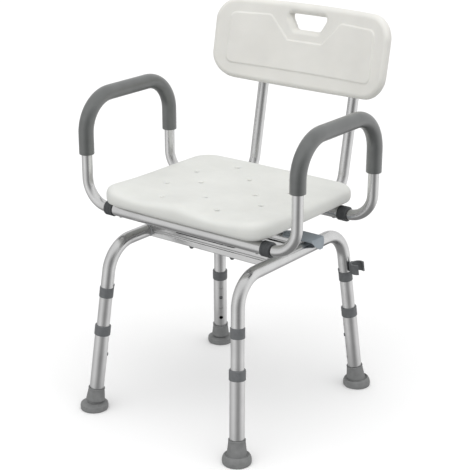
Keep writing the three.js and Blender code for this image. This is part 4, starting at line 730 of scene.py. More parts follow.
# %% Hose clip
def arc_wall(inner, outer, low, high, start, end, steps, matrix):
    bm = bmesh.new()
    corners = [(inner, low), (outer, low), (outer, high), (inner, high)]
    face = bm.faces.new([bm.verts.new((r * math.cos(start), r * math.sin(start), h)) for r, h in corners])
    bmesh.ops.spin(
        bm, geom=[face] + list(face.edges) + list(face.verts), cent=(0, 0, 0), axis=(0, 0, 1),
        angle=end - start, steps=steps, use_duplicate=False,
    )
    bmesh.ops.recalc_face_normals(bm, faces=bm.faces)
    return moved(bm, matrix)


CLIP_R, MOUTH_HALF = 16.8, 4.4
JAW_X, JAW_R, JAW_BORE_R, JAW_OPEN = 31, 14.0, 10.8, math.radians(50)
JAW_LOW, JAW_HIGH = up(260), up(280)
clip_place = leg_frame(1, 1)
mouth = math.asin(MOUTH_HALF / 15)
sleeve_start, sleeve_end = inward(1, 1) + mouth, inward(1, 1) + 2 * math.pi - mouth
on_tube = arc_wall(13.0, CLIP_R, up(259.6), up(277), sleeve_start, sleeve_end, 40, clip_place)
on_collar = arc_wall(14.4, CLIP_R, up(251.6), up(259.6), sleeve_start, sleeve_end, 40, clip_place)
jaw_place = clip_place @ Matrix.Translation((JAW_X, 0, 0))
jaw = arc_wall(JAW_BORE_R, JAW_R, JAW_LOW, JAW_HIGH, JAW_OPEN, 2 * math.pi - JAW_OPEN, 36, jaw_place)
web = block((14.2, 20.6), (-5, 5), (JAW_LOW, JAW_HIGH), clip_place)
clip = carve(carve(carve(on_tube, on_collar, "UNION"), jaw, "UNION"), web, "UNION")
show(soften(clip, 0.5, 50), "hose_holder", "base", collar_finish, "hose_clip", angle=45)

# %% [markdown]
# ## The swivel
# Two pressed square plates turn on a ring of balls. The upper plate's hub goes down through the
# lower one and is rolled outward under it, so the pair can't come apart. Four notches in the upper
# plate take the lever's tongue.

# %% Swivel plates and ball race
LOWER_PLATE, UPPER_PLATE = (360.8, 363.3), (365.9, 368.4)  # from and to in height
PLATE_HALF, PLATE_CORNER = 74.5, 8
HUB_BORE_R, HUB_CLEAR_R = 31, 34.2
BALL_RING_R, BALL_R, BALL_COUNT, TRACK_HALF = 55, 2.1, 36, 3.1


def square_plate(low, high):
    bm = bmesh.new()
    at_low = Matrix.Translation((0, 0, low))
    bmesh.ops.create_grid(bm, x_segments=1, y_segments=1, size=PLATE_HALF, matrix=at_low)
    rounded(bm, list(bm.verts), PLATE_CORNER, 8, "VERTICES")
    raised = verts_of(bmesh.ops.extrude_face_region(bm, geom=list(bm.faces), use_keep_orig=True)["geom"])
    bmesh.ops.translate(bm, verts=raised, vec=(0, 0, high - low))
    bmesh.ops.recalc_face_normals(bm, faces=bm.faces)
    return bm


def ball_track(face, way):
    """The groove for the balls in a plate's face. A way of 1 means that the plate is above it."""
    arc = [math.radians(d) for d in range(0, 181, 15)]
    groove = [
        (BALL_RING_R + TRACK_HALF * math.cos(a), face - way * 0.6 + way * 1.8 * math.sin(a)) for a in arc
    ]
    clear = face - way * 2
    return spun(groove + [(BALL_RING_R - TRACK_HALF, clear), (BALL_RING_R + TRACK_HALF, clear)], 96)


lower_plate = carve(square_plate(*LOWER_PLATE), rod(HUB_CLEAR_R, 355, 370, 64))
lower_plate = carve(lower_plate, ball_track(LOWER_PLATE[1], -1))
lower_plate = carve(lower_plate, block((59, 80), (48, 64), (355, 370)))  # room for the tongue
soften(lower_plate, 0.3, 60)
show(lower_plate, "lower_bearing_plate", "base", black_plate, "lower_swivel_plate")

hub = spun([
    (HUB_BORE_R, 358.9), (36.6, 358.9), (37.2, 359.5), (36.8, 360.2), (34.6, 360.3), (33.5, 361.2),
    (33.5, UPPER_PLATE[1]), (HUB_BORE_R, UPPER_PLATE[1]),
], 64)
upper_plate = carve(square_plate(*UPPER_PLATE), rod(HUB_BORE_R, 360, 375, 64))
upper_plate = carve(upper_plate, ball_track(UPPER_PLATE[0], 1))
for quarter in range(4):
    notch = block((62, 80), (49, 63), (360, 372), Matrix.Rotation(math.pi / 2 * quarter, 4, "Z"))
    upper_plate = carve(upper_plate, notch)
upper_plate = carve(upper_plate, hub, "UNION")
soften(upper_plate, 0.3, 60)
show(upper_plate, "upper_bearing_plate", "seat", black_plate, "upper_swivel_plate")

cage = spun([(50.8, 364.1), (59.2, 364.1), (59.2, 365.1), (50.8, 365.1)], 64)
balls = []
for k in range(BALL_COUNT):
    ball = bmesh.new()
    place = Matrix.Rotation(2 * math.pi * k / BALL_COUNT, 4, "Z") @ Matrix.Translation((BALL_RING_R, 0, 364.6))
    bmesh.ops.create_uvsphere(ball, u_segments=12, v_segments=8, radius=BALL_R, matrix=place)
    balls.append(ball)
show(together([cage] + balls), "balls_and_cage", "base", bright_steel, "ball_race")

# %% [markdown]
# ## The lock lever
# The lever is one folded blank of 2.2 mm steel. It is drawn as its middle surface, a strip whose
# edges are extruded into flanges, ears, thumb tab and tongue. The folds are bevelled and the sheet
# is given its thickness last, just as a press brake works from a flat blank. A cut from below makes
# the tongue thinner, so that it clears the crossbar when the lever is lifted.

# %% Lock lever
SHEET, FOLD_R, LEVER_Y = 2.2, 2.6, 56


def lever_sheet():
    bm = bmesh.new()
    top, low, ear_low, tab_low = 366.1, 361.8, 354, 351
    xs = [106, 113, 122, 125, 131, 134, 137, 174.8]
    ys = [35.1, 51, 61, 72, 76.9]
    grid = [[bm.verts.new((x, y, top)) for y in ys] for x in xs]
    for i in range(len(xs) - 1):
        for j in range(len(ys) - 1):
            bm.faces.new((grid[i][j], grid[i + 1][j], grid[i + 1][j + 1], grid[i][j + 1]))

    def side_edges(j):
        return [bm.edges.get((grid[i][j], grid[i + 1][j])) for i in range(len(xs) - 1)]

    for j in (0, len(ys) - 1):
        lip = pull(bm, side_edges(j), (0, 0, low - top))
        ears = [e for e in lip if all(121.9 < v.co.x < 134.1 for v in e.verts)]
        tips = pull(bm, ears, (0, 0, ear_low - low))
        pull(bm, [e for e in tips if all(124.9 < v.co.x < 131.1 for v in e.verts)], (0, 0, -5))
    tab = [bm.edges.get((grid[-1][j], grid[-1][j + 1])) for j in range(len(ys) - 1)]
    rows = pull(bm, tab, (0, 0, low - top))
    rows = pull(bm, rows, (0, 0, tab_low - low))
    for vert in {v for e in rows for v in e.verts}:
        vert.co.y = max(vert.co.y, 48)
    rows = pull(bm, rows, (0, 0, 341.2 - tab_low))
    for vert in {v for e in rows for v in e.verts}:
        vert.co.y = min(73, max(vert.co.y, 63))
    tongue = pull(bm, [bm.edges.get((grid[0][1], grid[0][2]))], (-14, 0, -2))
    pull(bm, tongue, (65.5 - 92, 0, 0))
    bmesh.ops.remove_doubles(bm, verts=bm.verts, dist=0.01)
    bmesh.ops.recalc_face_normals(bm, faces=bm.faces)
    return bm


lever = lever_sheet()
rounded(lever, sharper_than(lever, 50), FOLD_R, 4)
bmesh.ops.recalc_face_normals(lever, faces=lever.faces)
bmesh.ops.solidify(lever, geom=list(lever.faces), thickness=SHEET)
print("lever volume", round(lever.calc_volume(), 1), "mm3")
soften(lever, 0.3, 60)
on_pivot = Matrix.Translation((PIN_X, LEVER_Y, PIN_Z))
lever = carve(lever, drill(PIN_HOLE_R, -30, 30, math.pi / 2, 0, on_pivot))
lever = carve(lever, block((50, 100), (40, 75), (350, 362.9)))
show(lever, "swivel_lock_lever", "lever", lever_coat, "lock_lever")

# %% [markdown]
# The pin that the lever rocks on is a headed rivet. A torsion spring on it pushes the tongue up, so
# that the swivel locks by itself when a notch comes round.

# %% Pivot pin and return spring
def lying(x, y, z):
    """A place whose own Z points back, along Y."""
    return Matrix.Translation((x, y, z)) @ Matrix.Rotation(-math.pi / 2, 4, "X")


pin = spun([
    (0, -23.9), (3.2, -23.9), (4.3, -23.4), (4.5, -22.9), (4.5, -22.3), (2.5, -22.3), (2.5, 22.3),
    (4.5, 22.3), (4.5, 22.9), (4.3, 23.4), (3.2, 23.9), (0, 23.9),
], 32, lying(PIN_X, LEVER_Y, PIN_Z))
show(pin, "lever_pivot_pin", "base", bright_steel, "lever_pin")


def coil(radius, wire, pitch, turns, matrix):
    """A coil spring: a wire's ring, spun along a screw."""
    bm = bmesh.new()
    edges = ring(bm, (radius, 0, 0), (0, 1, 0), wire, 10)
    steps = round(turns * 28)
    around = list({v for e in edges for v in e.verts}) + edges
    made = bmesh.ops.spin(
        bm, geom=around, cent=(0, 0, 0), axis=(0, 0, 1), dvec=(0, 0, pitch * turns / steps),
        angle=2 * math.pi * turns, steps=steps, use_duplicate=False,
    )
    for loop in (edges, edges_of(made["geom_last"])):
        bmesh.ops.edgeloop_fill(bm, edges=loop)
    bmesh.ops.recalc_face_normals(bm, faces=bm.faces)
    return moved(bm, matrix)


spring = coil(3.6, 0.6, 1.45, 4.5, lying(PIN_X, 66.5, PIN_Z))
show(spring, "lever_return_spring", "base", bright_steel)

# %% [markdown]
# ## Rails and seat tubes
# Two rolled channels sit on the upper plate, open side up, and carry the two seat tubes. The rear
# seat tube has two short sockets welded to it for the backrest's posts.

# %% Rails
RAIL_X, RAIL_LOW, RAIL_HIGH, RAIL_FLOOR, SWEEP_HIGH = 60, 368.7, 388.8, 370.7, 387.3
RAIL_FRONT, RAIL_REAR = -128, 125
CHANNEL = [
    (-13, RAIL_HIGH), (-13, RAIL_LOW), (13, RAIL_LOW), (13, RAIL_HIGH),
    (11, RAIL_HIGH), (11, RAIL_FLOOR), (-11, RAIL_FLOOR), (-11, RAIL_HIGH),
]
for word, s in SIDE_WORDS.items():
    endways = Matrix(((1, 0, 0, s * RAIL_X), (0, 0, 1, 0), (0, 1, 0, 0), (0, 0, 0, 1)))
    channel = plate(CHANNEL, RAIL_FRONT, RAIL_REAR, endways)
    bmesh.ops.recalc_face_normals(channel, faces=channel.faces)
    sideways = Matrix(((0, 0, 1, s * RAIL_X), (1, 0, 0, 0), (0, 1, 0, 0), (0, 0, 0, 1)))
    for end, start, way in ((RAIL_FRONT, -86, -1), (RAIL_REAR, 83, 1)):
        past = end + way * 9
        below_sweep = [(start, RAIL_LOW), (end, SWEEP_HIGH), (past, SWEEP_HIGH), (past, 360), (start, 360)]
        channel = carve(channel, plate(below_sweep, -20, 20, sideways))
    soften(channel, 0.7, 50, 3)
    show(channel, word + "_channel_rail", "seat", aluminium_deep, word + "_rail")

# %% Seat tubes
SEAT_Z, FRONT_Y, REAR_Y, TUBE_HALF = 401.5, -127, 124, 194
POST_X, SOCKET_END = 111, 185
PLUG_HOLE, POST_HOLE = 165, 168  # how far out the buttons' holes are


def x_down(x, y, along):
    """A place at the seat tubes' height with Z along a tube, outward, and X straight down."""
    down_way, z = Vector((0, 0, -1)), Vector(along)
    turn = Matrix((down_way, z.cross(down_way), z)).transposed().to_4x4()
    return Matrix.Translation((x, y, SEAT_Z)) @ turn


def below(s, y):
    return x_down(0, y, (s, 0, 0))


def behind(x):
    return x_down(x, 0, (0, 1, 0))


def seat_tube(y):
    made = tube([(-TUBE_HALF, y, SEAT_Z), (TUBE_HALF, y, SEAT_Z)], [], TUBE_R, BORE_R, 48)
    return carve(made, together([button_hole(0, PLUG_HOLE, below(s, y)) for s in (-1, 1)]))


show(seat_tube(FRONT_Y), "front_cross_tube", "seat", aluminium_across, "front_seat_tube")
IN_WALL = (BORE_R + TUBE_R) / 2  # a socket ends in the middle of the tube's wall
rear = seat_tube(REAR_Y)
for s in (-1, 1):
    socket = tube([(s * POST_X, REAR_Y, SEAT_Z), (s * POST_X, SOCKET_END, SEAT_Z)], [], TUBE_R, BORE_R, 48)
    in_tube = Matrix.Translation((0, REAR_Y, SEAT_Z)) @ Matrix.Rotation(math.pi / 2, 4, "Y")
    socket = carve(socket, rod(IN_WALL, -200, 200, 48, in_tube))
    rear = carve(rear, socket, "UNION")
    rear = carve(rear, button_hole(0, POST_HOLE, behind(s * POST_X)))
show(rear, "rear_cross_tube", "seat", aluminium_across, "rear_seat_tube")
for word, s in SIDE_WORDS.items():
    line = []
    for k in range(36):
        a = 2 * math.pi * k / 36
        x, z_off = TUBE_R * math.cos(a), TUBE_R * math.sin(a)
        on_tube = math.sqrt(TUBE_R ** 2 - z_off ** 2) + 0.2
        line.append((s * POST_X + x, REAR_Y + on_tube, SEAT_Z + z_off * 0.98))
    show(bead(line, 1.5, s), word + "_socket_weld", "seat", weld_aluminium)

# %% [markdown]
# ## Arms
# Each arm is one tube bent four times, plugged into both seat tubes. Its foam grip is a thicker
# tube on the same line, with rounded ends, and a grey collar closes each joint.

# %% Arms, grips and collars
ARM_X, ARM_Z, ARM_R, ARM_BORE_R, PLUG_X, GRIP_R = 250.8, 611, 10.5, 9.0, 118, 15.0
GRIP_ENDS = {"left": (500.6, 497.6), "right": (518.0, 496.3)}
ARM_COLLAR = [
    (13.0, 179), (14.1, 179), (14.6, 179.5), (14.6, 184.2), (14.2, 184.7), (14.2, 185.5), (14.6, 186),
    (14.6, 192.0), (14.2, 192.5), (14.2, 193.3), (14.6, 193.8), (14.6, 196.8), (14.3, 198.2), (13.4, 199),
    (10.8, 199), (10.8, 194.3), (13.0, 194.3),
]
for word, s in SIDE_WORDS.items():
    corners = [
        (s * PLUG_X, FRONT_Y, SEAT_Z), (s * ARM_X, FRONT_Y, SEAT_Z), (s * ARM_X, FRONT_Y, ARM_Z),
        (s * ARM_X, REAR_Y, ARM_Z), (s * ARM_X, REAR_Y, SEAT_Z), (s * PLUG_X, REAR_Y, SEAT_Z),
    ]
    arm = tube(corners, [51.5, 70, 70, 51.5], ARM_R, ARM_BORE_R)
    arm = carve(arm, together([button_hole(0, PLUG_HOLE, below(s, y)) for y in (FRONT_Y, REAR_Y)]))
    show(arm, word + "_bent_arm", word + "_arm", aluminium_up, word + "_arm_tube")
    front_end, rear_end = GRIP_ENDS[word]
    grip = tube(
        [(s * ARM_X, FRONT_Y, front_end), (s * ARM_X, FRONT_Y, ARM_Z), (s * ARM_X, REAR_Y, ARM_Z),
         (s * ARM_X, REAR_Y, rear_end)], [70, 70], GRIP_R, ARM_R + GAP, 48,
    )
    soften(grip, 1.4, 60, 4)
    sleeve = show(grip, word + "_foam_grip", word + "_arm", grip_finish, word + "_grip", angle=60)
    for end, y in (("front", FRONT_Y), ("rear", REAR_Y)):
        collar = spun(ARM_COLLAR, 48, below(s, y))
        node_name = f"{word}_{end}_arm_collar"
        show(collar, f"{word}_{end}_arm_ring", "seat", arm_collar_finish, node_name)
        node_name = f"{word}_{end}_arm_button"
        dome = snap_button(ARM_BORE_R, TUBE_R, 0, PLUG_HOLE, below(s, y))
        show(dome, node_name + "_dome", node_name + "_body", dull_nickel, node_name)

# %% [markdown]
# ## The backrest
# Two bent posts carry the panel. Their tops are closed by pushed-in plugs.

# %% Back posts and plugs
POST_LEAN, PANEL_Z0, POST_R, POST_BORE_R = 0.185, 637, 10.75, 9.25
LEAN = math.atan(POST_LEAN)
PANEL_UP = Vector((0, math.sin(LEAN), math.cos(LEAN)))
PANEL_BACK = Vector((0, math.cos(LEAN), -math.sin(LEAN)))
PANEL_DATUM = Vector((0, 256, PANEL_Z0))
post_top = PANEL_Z0 + 99 * math.cos(LEAN)


def post_y(height):
    return 250 + (height - 500) * POST_LEAN


for word, s in SIDE_WORDS.items():
    corners = [
        (s * POST_X, 141, SEAT_Z), (s * POST_X, post_y(SEAT_Z), SEAT_Z),
        (s * POST_X, post_y(post_top), post_top),
    ]
    post = tube(corners, [45], POST_R, POST_BORE_R)
    post = carve(post, button_hole(0, POST_HOLE, behind(s * POST_X)))
    show(post, word + "_bent_post", "back", aluminium_up, word + "_back_post")
    dome = snap_button(POST_BORE_R, TUBE_R, 0, POST_HOLE, behind(s * POST_X))
    button = word + "_back_button"
    show(dome, button + "_dome", button + "_body", bright_steel, button)
    top = Matrix.Translation((s * POST_X, post_y(post_top), post_top)) @ facing(PANEL_UP)
    cap = spun([
        (0, -14), (8.8, -14), (9.1, -13), (9.1, -1.2), (10.4, -1.2), (10.4, -0.9), (9.6, -0.2),
        (7.5, 0), (0, 0),
    ], 40, top)
    show(cap, word + "_post_plug", "back", plug_finish)

# %% [markdown]
# Both shells are blow-moulded: a flat parison is pinched and blown against the mould, so every
# corner is round and a faint pinch line runs round the edge. Each shell is two grids, one for each
# half of the mould. The outer rows of a grid are bunched up round the rim, its corners are pulled
# to the corner radius, and the two halves meet on the pinch line.

# %% Moulded halves
def rim_rows(section, count):
    """Evenly spaced (distance in from the edge, height) points along a section's line."""
    steps = [math.dist(a, b) for a, b in zip(section, section[1:])]
    rows, total = [], sum(steps)
    for k in range(count + 1):
        left, i = total * k / count, 0
        while i < len(steps) - 1 and left > steps[i]:
            left -= steps[i]
            i += 1
        part = min(1, left / steps[i])
        rows.append([a + (b - a) * part for a, b in zip(section[i], section[i + 1])])
    return rows


def smooth_line(points, steps=8):
    """A round curve through points, so that a few measured ones are enough."""
    line = []
    for i in range(len(points) - 1):
        four = [points[max(0, i - 1)], points[i], points[i + 1], points[min(len(points) - 1, i + 2)]]
        for k in range(steps):
            t = k / steps
            line.append([
                0.5 * (2 * b + (c - a) * t + (2 * a - 5 * b + 4 * c - d) * t * t
                       + (3 * b - a - 3 * c + d) * t ** 3)
                for a, b, c, d in zip(*four)
            ])
    return line + [list(points[-1])]


def mould_half(half_x, half_y, corner, section, rows, cells):
    """One half of a shell, as (x, y, height), with its pinch line on the outside."""
    bm = bmesh.new()
    bmesh.ops.create_grid(bm, x_segments=cells[0], y_segments=cells[1], size=1)
    rim = rim_rows(smooth_line(section), rows)
    reach = rim[-1][0]

    def from_edge(share, half, count):
        row = (1 - abs(share)) * count / 2
        k = round(row)
        if row < rows + 1e-6 and abs(row - k) < 1e-3:
            return rim[k]
        return [reach + (row - rows) / (count / 2 - rows) * (half - reach), rim[-1][1]]

    for vert in bm.verts:
        a, b = vert.co.x, vert.co.y
        along_x, along_y = from_edge(a, half_x, cells[0]), from_edge(b, half_y, cells[1])
        height = min(along_x, along_y, key=lambda p: p[0])[1]
        in_x, in_y = along_x[0], along_y[0]
        x, y = half_x - in_x, half_y - in_y
        if in_x < corner and in_y < corner:
            p, q = 1 - in_x / corner, 1 - in_y / corner
            squash = max(p, q) / max(1e-9, math.hypot(p, q))
            x, y = half_x - corner + corner * p * squash, half_y - corner + corner * q * squash
        x = math.copysign(x, a) if abs(a) > 1e-6 else 0
        y = math.copysign(y, b) if abs(b) > 1e-6 else 0
        vert.co = (x, y, height)
    return bm


# %% [markdown]
# The seat's top is dished a few millimetres, and its front edge rises between the thighs and at
# the corners. Twelve drain holes go right through. Their mouths are flared, as a mould pin leaves
# them, so that the skin is comfortable to sit on.

# %% Seat shell
SEAT_HALF_X, SEAT_FRONT, SEAT_BACK = 194, -167, 173.5
SEAT_TOP, SEAT_EDGE, SEAT_CORNER, DRAIN_R, FLARE = 450, 423, 46, 4.6, 3.4
seat_mid, seat_half_y = (SEAT_FRONT + SEAT_BACK) / 2, (SEAT_BACK - SEAT_FRONT) / 2


def seat_rise(x, y):
    thigh_share = ease(-y, 50, 150)
    thigh = 4 * math.cos(2 * math.pi * x / 180) * thigh_share
    out = min(1, math.hypot(x / SEAT_HALF_X, (y - seat_mid) / seat_half_y))
    return thigh - 4 * (1 - out ** 2) * (1 - thigh_share)


top_section = [(0, 433), (0.05, 436.5), (2, 443), (7.2, 447.3), (16, 449.6), (34, 450)]
low_section = [(0, 433), (0.05, 429.5), (1.6, 424.1), (7.2, 420.8), (16, 416.2), (24, 414.4), (40, 414.2)]
upper = mould_half(SEAT_HALF_X, seat_half_y, SEAT_CORNER, top_section, 12, (100, 92))
lower = mould_half(SEAT_HALF_X, seat_half_y, SEAT_CORNER, low_section, 10, (100, 92))
for half in (upper, lower):
    for vert in half.verts:
        x, y, h = vert.co
        y -= math.copysign(4 * (x / SEAT_HALF_X) ** 2 * min(1, abs(y) / seat_half_y), y)
        y += seat_mid
        share = max(0, (h - SEAT_EDGE) / (SEAT_TOP - SEAT_EDGE))
        vert.co = (x, y, h + share * seat_rise(x, y))
seat = together([upper, lower])
bmesh.ops.remove_doubles(seat, verts=seat.verts, dist=0.02)
bmesh.ops.recalc_face_normals(seat, faces=seat.faces)
drains = [(a * 66.4, 0) for a in (-1, 1)] + [(0, a * 69.5) for a in (-1, 1)]
drains += [(a * x, b * y) for a in (-1, 1) for b in (-1, 1) for x, y in ((115.1, 47.2), (65.6, 117.4))]
pins = []
flare_arc = [math.radians(d) for d in range(0, 80, 13)]
for x, y in drains:
    h = SEAT_TOP + seat_rise(x, y)
    flare = [(DRAIN_R + FLARE * (1 - math.cos(a)), h - FLARE + FLARE * math.sin(a)) for a in flare_arc]
    pin_line = [(0, 405), (DRAIN_R, 405)] + flare + [(8.4, h + 6), (0, h + 6)]
    pins.append(spun(pin_line, 32, Matrix.Translation((x, y, 0))))
seat = carve(seat, together(pins))
show(seat, "seat_moulding", "seat", seat_shell_finish, "seat_shell", angle=50)

# %% [markdown]
# The backrest has a raised field on its front with a notch for the hand hole, and the hole's rim
# rolls inward like the mouth of a jug. Both are heights added to the grid's vertices, worked out
# from how far each one is from an outline.

# %% Backrest panel
PANEL_HALF, PANEL_LOW, PANEL_HIGH, PANEL_THICK = 208, -43, 128, 12.5
PANEL_CORNER, PANEL_BOW = 50, 1240  # the bow is twice the radius that the panel is curved to
FIELD = [(176, -10), (174, 95), (84, 99.5), (40.5, 53)]
FIELD = FIELD + [(-x, v) for x, v in reversed(FIELD)]
HAND = [(28.5, 75), (47, 106), (-47, 106), (-28.5, 75)]


def inside_by(outline, x, v):
    """How far a point is inside an outline, below zero if it is outside."""
    near, inside = 1e9, False
    for (x0, v0), (x1, v1) in zip(outline, outline[1:] + outline[:1]):
        dx, dv = x1 - x0, v1 - v0
        t = min(1, max(0, ((x - x0) * dx + (v - v0) * dv) / (dx * dx + dv * dv)))
        near = min(near, math.hypot(x - x0 - t * dx, v - v0 - t * dv))
        if (v0 > v) != (v1 > v) and x < dx * (v - v0) / dv + x0:
            inside = not inside
    return near if inside else -near


def shrunk(outline, by):
    """The outline moved inward, so that rounding it back out leaves the size alone."""
    count = len(outline)
    moved_in = []
    for i, (x, v) in enumerate(outline):
        (xa, va), (xb, vb) = outline[i - 1], outline[(i + 1) % count]
        a, b = Vector((x - xa, v - va)).normalized(), Vector((xb - x, vb - v)).normalized()
        na, nb = Vector((-a.y, a.x)), Vector((-b.y, b.x))
        way = (na + nb) / (1 + na.dot(nb))
        moved_in.append((x + way.x * by, v + way.y * by))
    return moved_in


FIELD_ROUND, FIELD_RISE, FIELD_SLOPE = 15, 2.2, 2.4
HAND_ROUND, SCOOP_WIDE, SCOOP_DEEP = 7, 10, 9
field_core = shrunk(FIELD, FIELD_ROUND)
hand_core = shrunk(HAND, HAND_ROUND)
panel_mid, panel_half_v = (PANEL_HIGH + PANEL_LOW) / 2, (PANEL_HIGH - PANEL_LOW) / 2
edge_arc = [math.radians(d) for d in range(0, 91, 10)]
edge_section = [(11 * (1 - math.cos(a)), PANEL_THICK * math.sin(a)) for a in edge_arc]
front = mould_half(PANEL_HALF, panel_half_v, PANEL_CORNER, edge_section, 10, (290, 130))
rear_half = mould_half(PANEL_HALF, panel_half_v, PANEL_CORNER, edge_section, 10, (110, 54))
for half, way in ((front, -1), (rear_half, 1)):
    for vert in half.verts:
        x, v, n = vert.co
        v -= math.copysign(5 * (x / PANEL_HALF) ** 2 * min(1, abs(v) / panel_half_v), v)
        v += panel_mid
        if n > 9:
            from_hole = -inside_by(hand_core, x, v) - HAND_ROUND
            n -= SCOOP_DEEP * (1 - min(1, max(0, from_hole / SCOOP_WIDE))) ** 2
            if way < 0:
                n += FIELD_RISE * ease(inside_by(field_core, x, v) + FIELD_ROUND, 0, FIELD_SLOPE)
        n = n * way - x * x / PANEL_BOW
        vert.co = PANEL_DATUM + Vector((x, 0, 0)) + PANEL_UP * v + PANEL_BACK * n
panel = together([front, rear_half])
bmesh.ops.remove_doubles(panel, verts=panel.verts, dist=0.02)
bmesh.ops.recalc_face_normals(panel, faces=panel.faces)
turn = Matrix((Vector((-1, 0, 0)), PANEL_UP, PANEL_BACK)).transposed().to_4x4()
ON_PANEL = Matrix.Translation(PANEL_DATUM) @ turn


def round_bar(outline, low, high, corner, matrix, segments=8):
    """An outline with rounded corners, raised from one height to another."""
    bm = plate(outline, low, high)
    rounded(bm, [e for e in bm.edges if abs(e.verts[0].co.z - e.verts[1].co.z) > 1], corner, segments)
    bmesh.ops.recalc_face_normals(bm, faces=bm.faces)
    return moved(bm, matrix)


panel = carve(panel, round_bar(HAND, -40, 40, HAND_ROUND * 0.61, ON_PANEL))
post_gap = (post_y(PANEL_Z0) - PANEL_DATUM.y) * math.cos(LEAN)
for s in (-1, 1):
    for v in (-22, 62):
        x = s * POST_X
        corners = [(x - 15, v), (x + 15, v), (x + 15, v + 30), (x - 15, v + 30)]
        saddle = soften(round_bar(corners, 3, post_gap - POST_R + 5, 4, ON_PANEL, 4), 1, 50, 3)
        on_post = Matrix.Translation((x, post_y(PANEL_Z0), PANEL_Z0)) @ facing(PANEL_UP)
        saddle = carve(saddle, rod(POST_R + GAP, -200, 200, 40, on_post))
        panel = carve(panel, saddle, "UNION")
show(panel, "back_moulding", "back", back_shell_finish, "back_panel", angle=50)

# %% [markdown]
# ## Fasteners
# Everything that a spanner or a rivet gun would reach: dome nuts under the crossbars, flush heads
# on the lower plate, rivets through the rails, screws up into the seat, and the four pan-head
# screws that hold the backrest to its posts. The welds between rails and seat tubes come with them.

# %% Nuts, rivets and screws
def dome_nut(matrix):
    """Points down its own Z from its washer."""
    bm = bmesh.new()
    middle = Matrix.Translation((0, 0, 3.1))
    bmesh.ops.create_cone(bm, cap_ends=True, segments=6, radius1=5.7, radius2=5.7, depth=4.2, matrix=middle)
    soften(bm, 0.4)
    dome = spun([(0, 5), (4.6, 5), (4.5, 6.2), (3.9, 7.7), (2.7, 8.8), (1.3, 9.3), (0, 9.4)], 24)
    washer = spun([(2.5, 0), (6.6, 0), (6.8, 0.3), (6.6, 1), (2.5, 1)], 32)
    return moved(together([bm, dome, washer]), matrix)


def low_head(radius, tall, matrix, slot=0):
    dome = [
        (0, 0), (radius, 0), (radius, tall * 0.3), (radius * 0.85, tall * 0.8), (radius * 0.5, tall),
        (0, tall),
    ]
    head = spun(dome, 28, matrix)
    if not slot:
        return head
    for k in range(2):
        cross = Matrix.Rotation(math.pi / 2 * k, 4, "Z")
        head = carve(head, block((-slot, slot), (-0.45, 0.45), (tall * 0.35, tall + 2), matrix @ cross))
    return head


down = Matrix.Rotation(math.pi, 4, "X")
nuts, heads = [], []
for x in (-50, 50):
    for y in (-BAR_Y, BAR_Y):
        nuts.append(dome_nut(Matrix.Translation((x, y, BAR_LOW)) @ down))
        heads.append(low_head(5, 1.3, Matrix.Translation((x, y, LOWER_PLATE[1]))))
show(together(nuts), "crossbar_dome_nuts", "base", dull_nickel)
show(together(heads), "plate_bolt_heads", "base", bright_steel)

rivets, screws, seams = [], [], []
for s in (-1, 1):
    for y in (-62, 62):
        rivets.append(low_head(4.5, 1.8, Matrix.Translation((s * RAIL_X, y, RAIL_FLOOR))))
    for y in (FRONT_Y, REAR_Y):
        for flange in (-12, 12):
            for k in range(6):
                off = 2.5 + k
                z = SEAT_Z - math.sqrt(TUBE_R ** 2 - off ** 2) - 0.2
                seams.append((s * RAIL_X + flange, y - math.copysign(off, y), z))
        screws.append(low_head(4.2, 2.2, Matrix.Translation((s * 92, y, SEAT_Z - TUBE_R + 0.3)) @ down, 2.4))
show(together(rivets), "rail_rivets", "seat", bright_steel)
show(together(screws), "seat_screws", "seat", bright_steel)
show(bead(seams, 1.3, 5), "rail_welds", "seat", weld_aluminium)
back_screws = []
for s in (-1, 1):
    for v in (-7, 77):
        at = PANEL_DATUM + Vector((s * POST_X, 0, 0)) + PANEL_UP * v + PANEL_BACK * (post_gap + 10.55)
        back_screws.append(low_head(4.4, 1.7, Matrix.Translation(at) @ facing(PANEL_BACK), 2.5))
show(together(back_screws), "back_screws", "back", bright_steel)

# %% [markdown]
# ## Studio
# The seat stands on a pale sweep, and a sun as wide as a ceiling lights it with soft shadows. Satin
# metal shows what it faces, so the tubes get a room to mirror: pale walls with darker places, given
# by WALLS as shares of a turn, a pale ceiling and a grey floor below. Other surfaces get their light
# from the same walls, and the camera sees plain white behind the seat. The sweep itself stays out
# of the mirrors and throws no light back, because the room's lower half already stands for it.

# %% Floor and lights
def pale_floor():
    finish, tree, shader = new_finish("paper_sweep_white", {"Roughness": 0.9})
    fibres = grain(tree, 3)
    tree.links.new(tint(tree, fibres.outputs["Fac"], "#fafafa", "#fcfcfc"), shader.inputs["Base Color"])
    bm = bmesh.new()
    bmesh.ops.create_grid(bm, x_segments=1, y_segments=1, size=30)
    floor = as_object(bm, "paper_sweep")
    floor.data.materials.append(finish)
    floor.visible_glossy = floor.visible_diffuse = False


pale_floor()


def towards(azimuth, elevation):
    """The way to a place in the room, its azimuth counted from the front towards the right."""
    a, e = math.radians(azimuth), math.radians(elevation)
    return Vector((math.sin(a) * math.cos(e), -math.cos(a) * math.cos(e), math.sin(e)))


def soft_ceiling(azimuth, elevation, spread, strength):
    """A very wide light, even over the whole floor. The tubes mirror the room and not this light."""
    light = bpy.data.lights.new("soft_ceiling", "SUN")
    light.angle, light.energy = math.radians(spread), strength
    ceiling = bpy.data.objects.new("soft_ceiling", light)
    ceiling.rotation_euler = towards(azimuth, elevation).to_track_quat("Z", "Y").to_euler()
    ceiling.visible_glossy = False
    bpy.context.scene.collection.objects.link(ceiling)


soft_ceiling(azimuth=35, elevation=60, spread=90, strength=1.55)


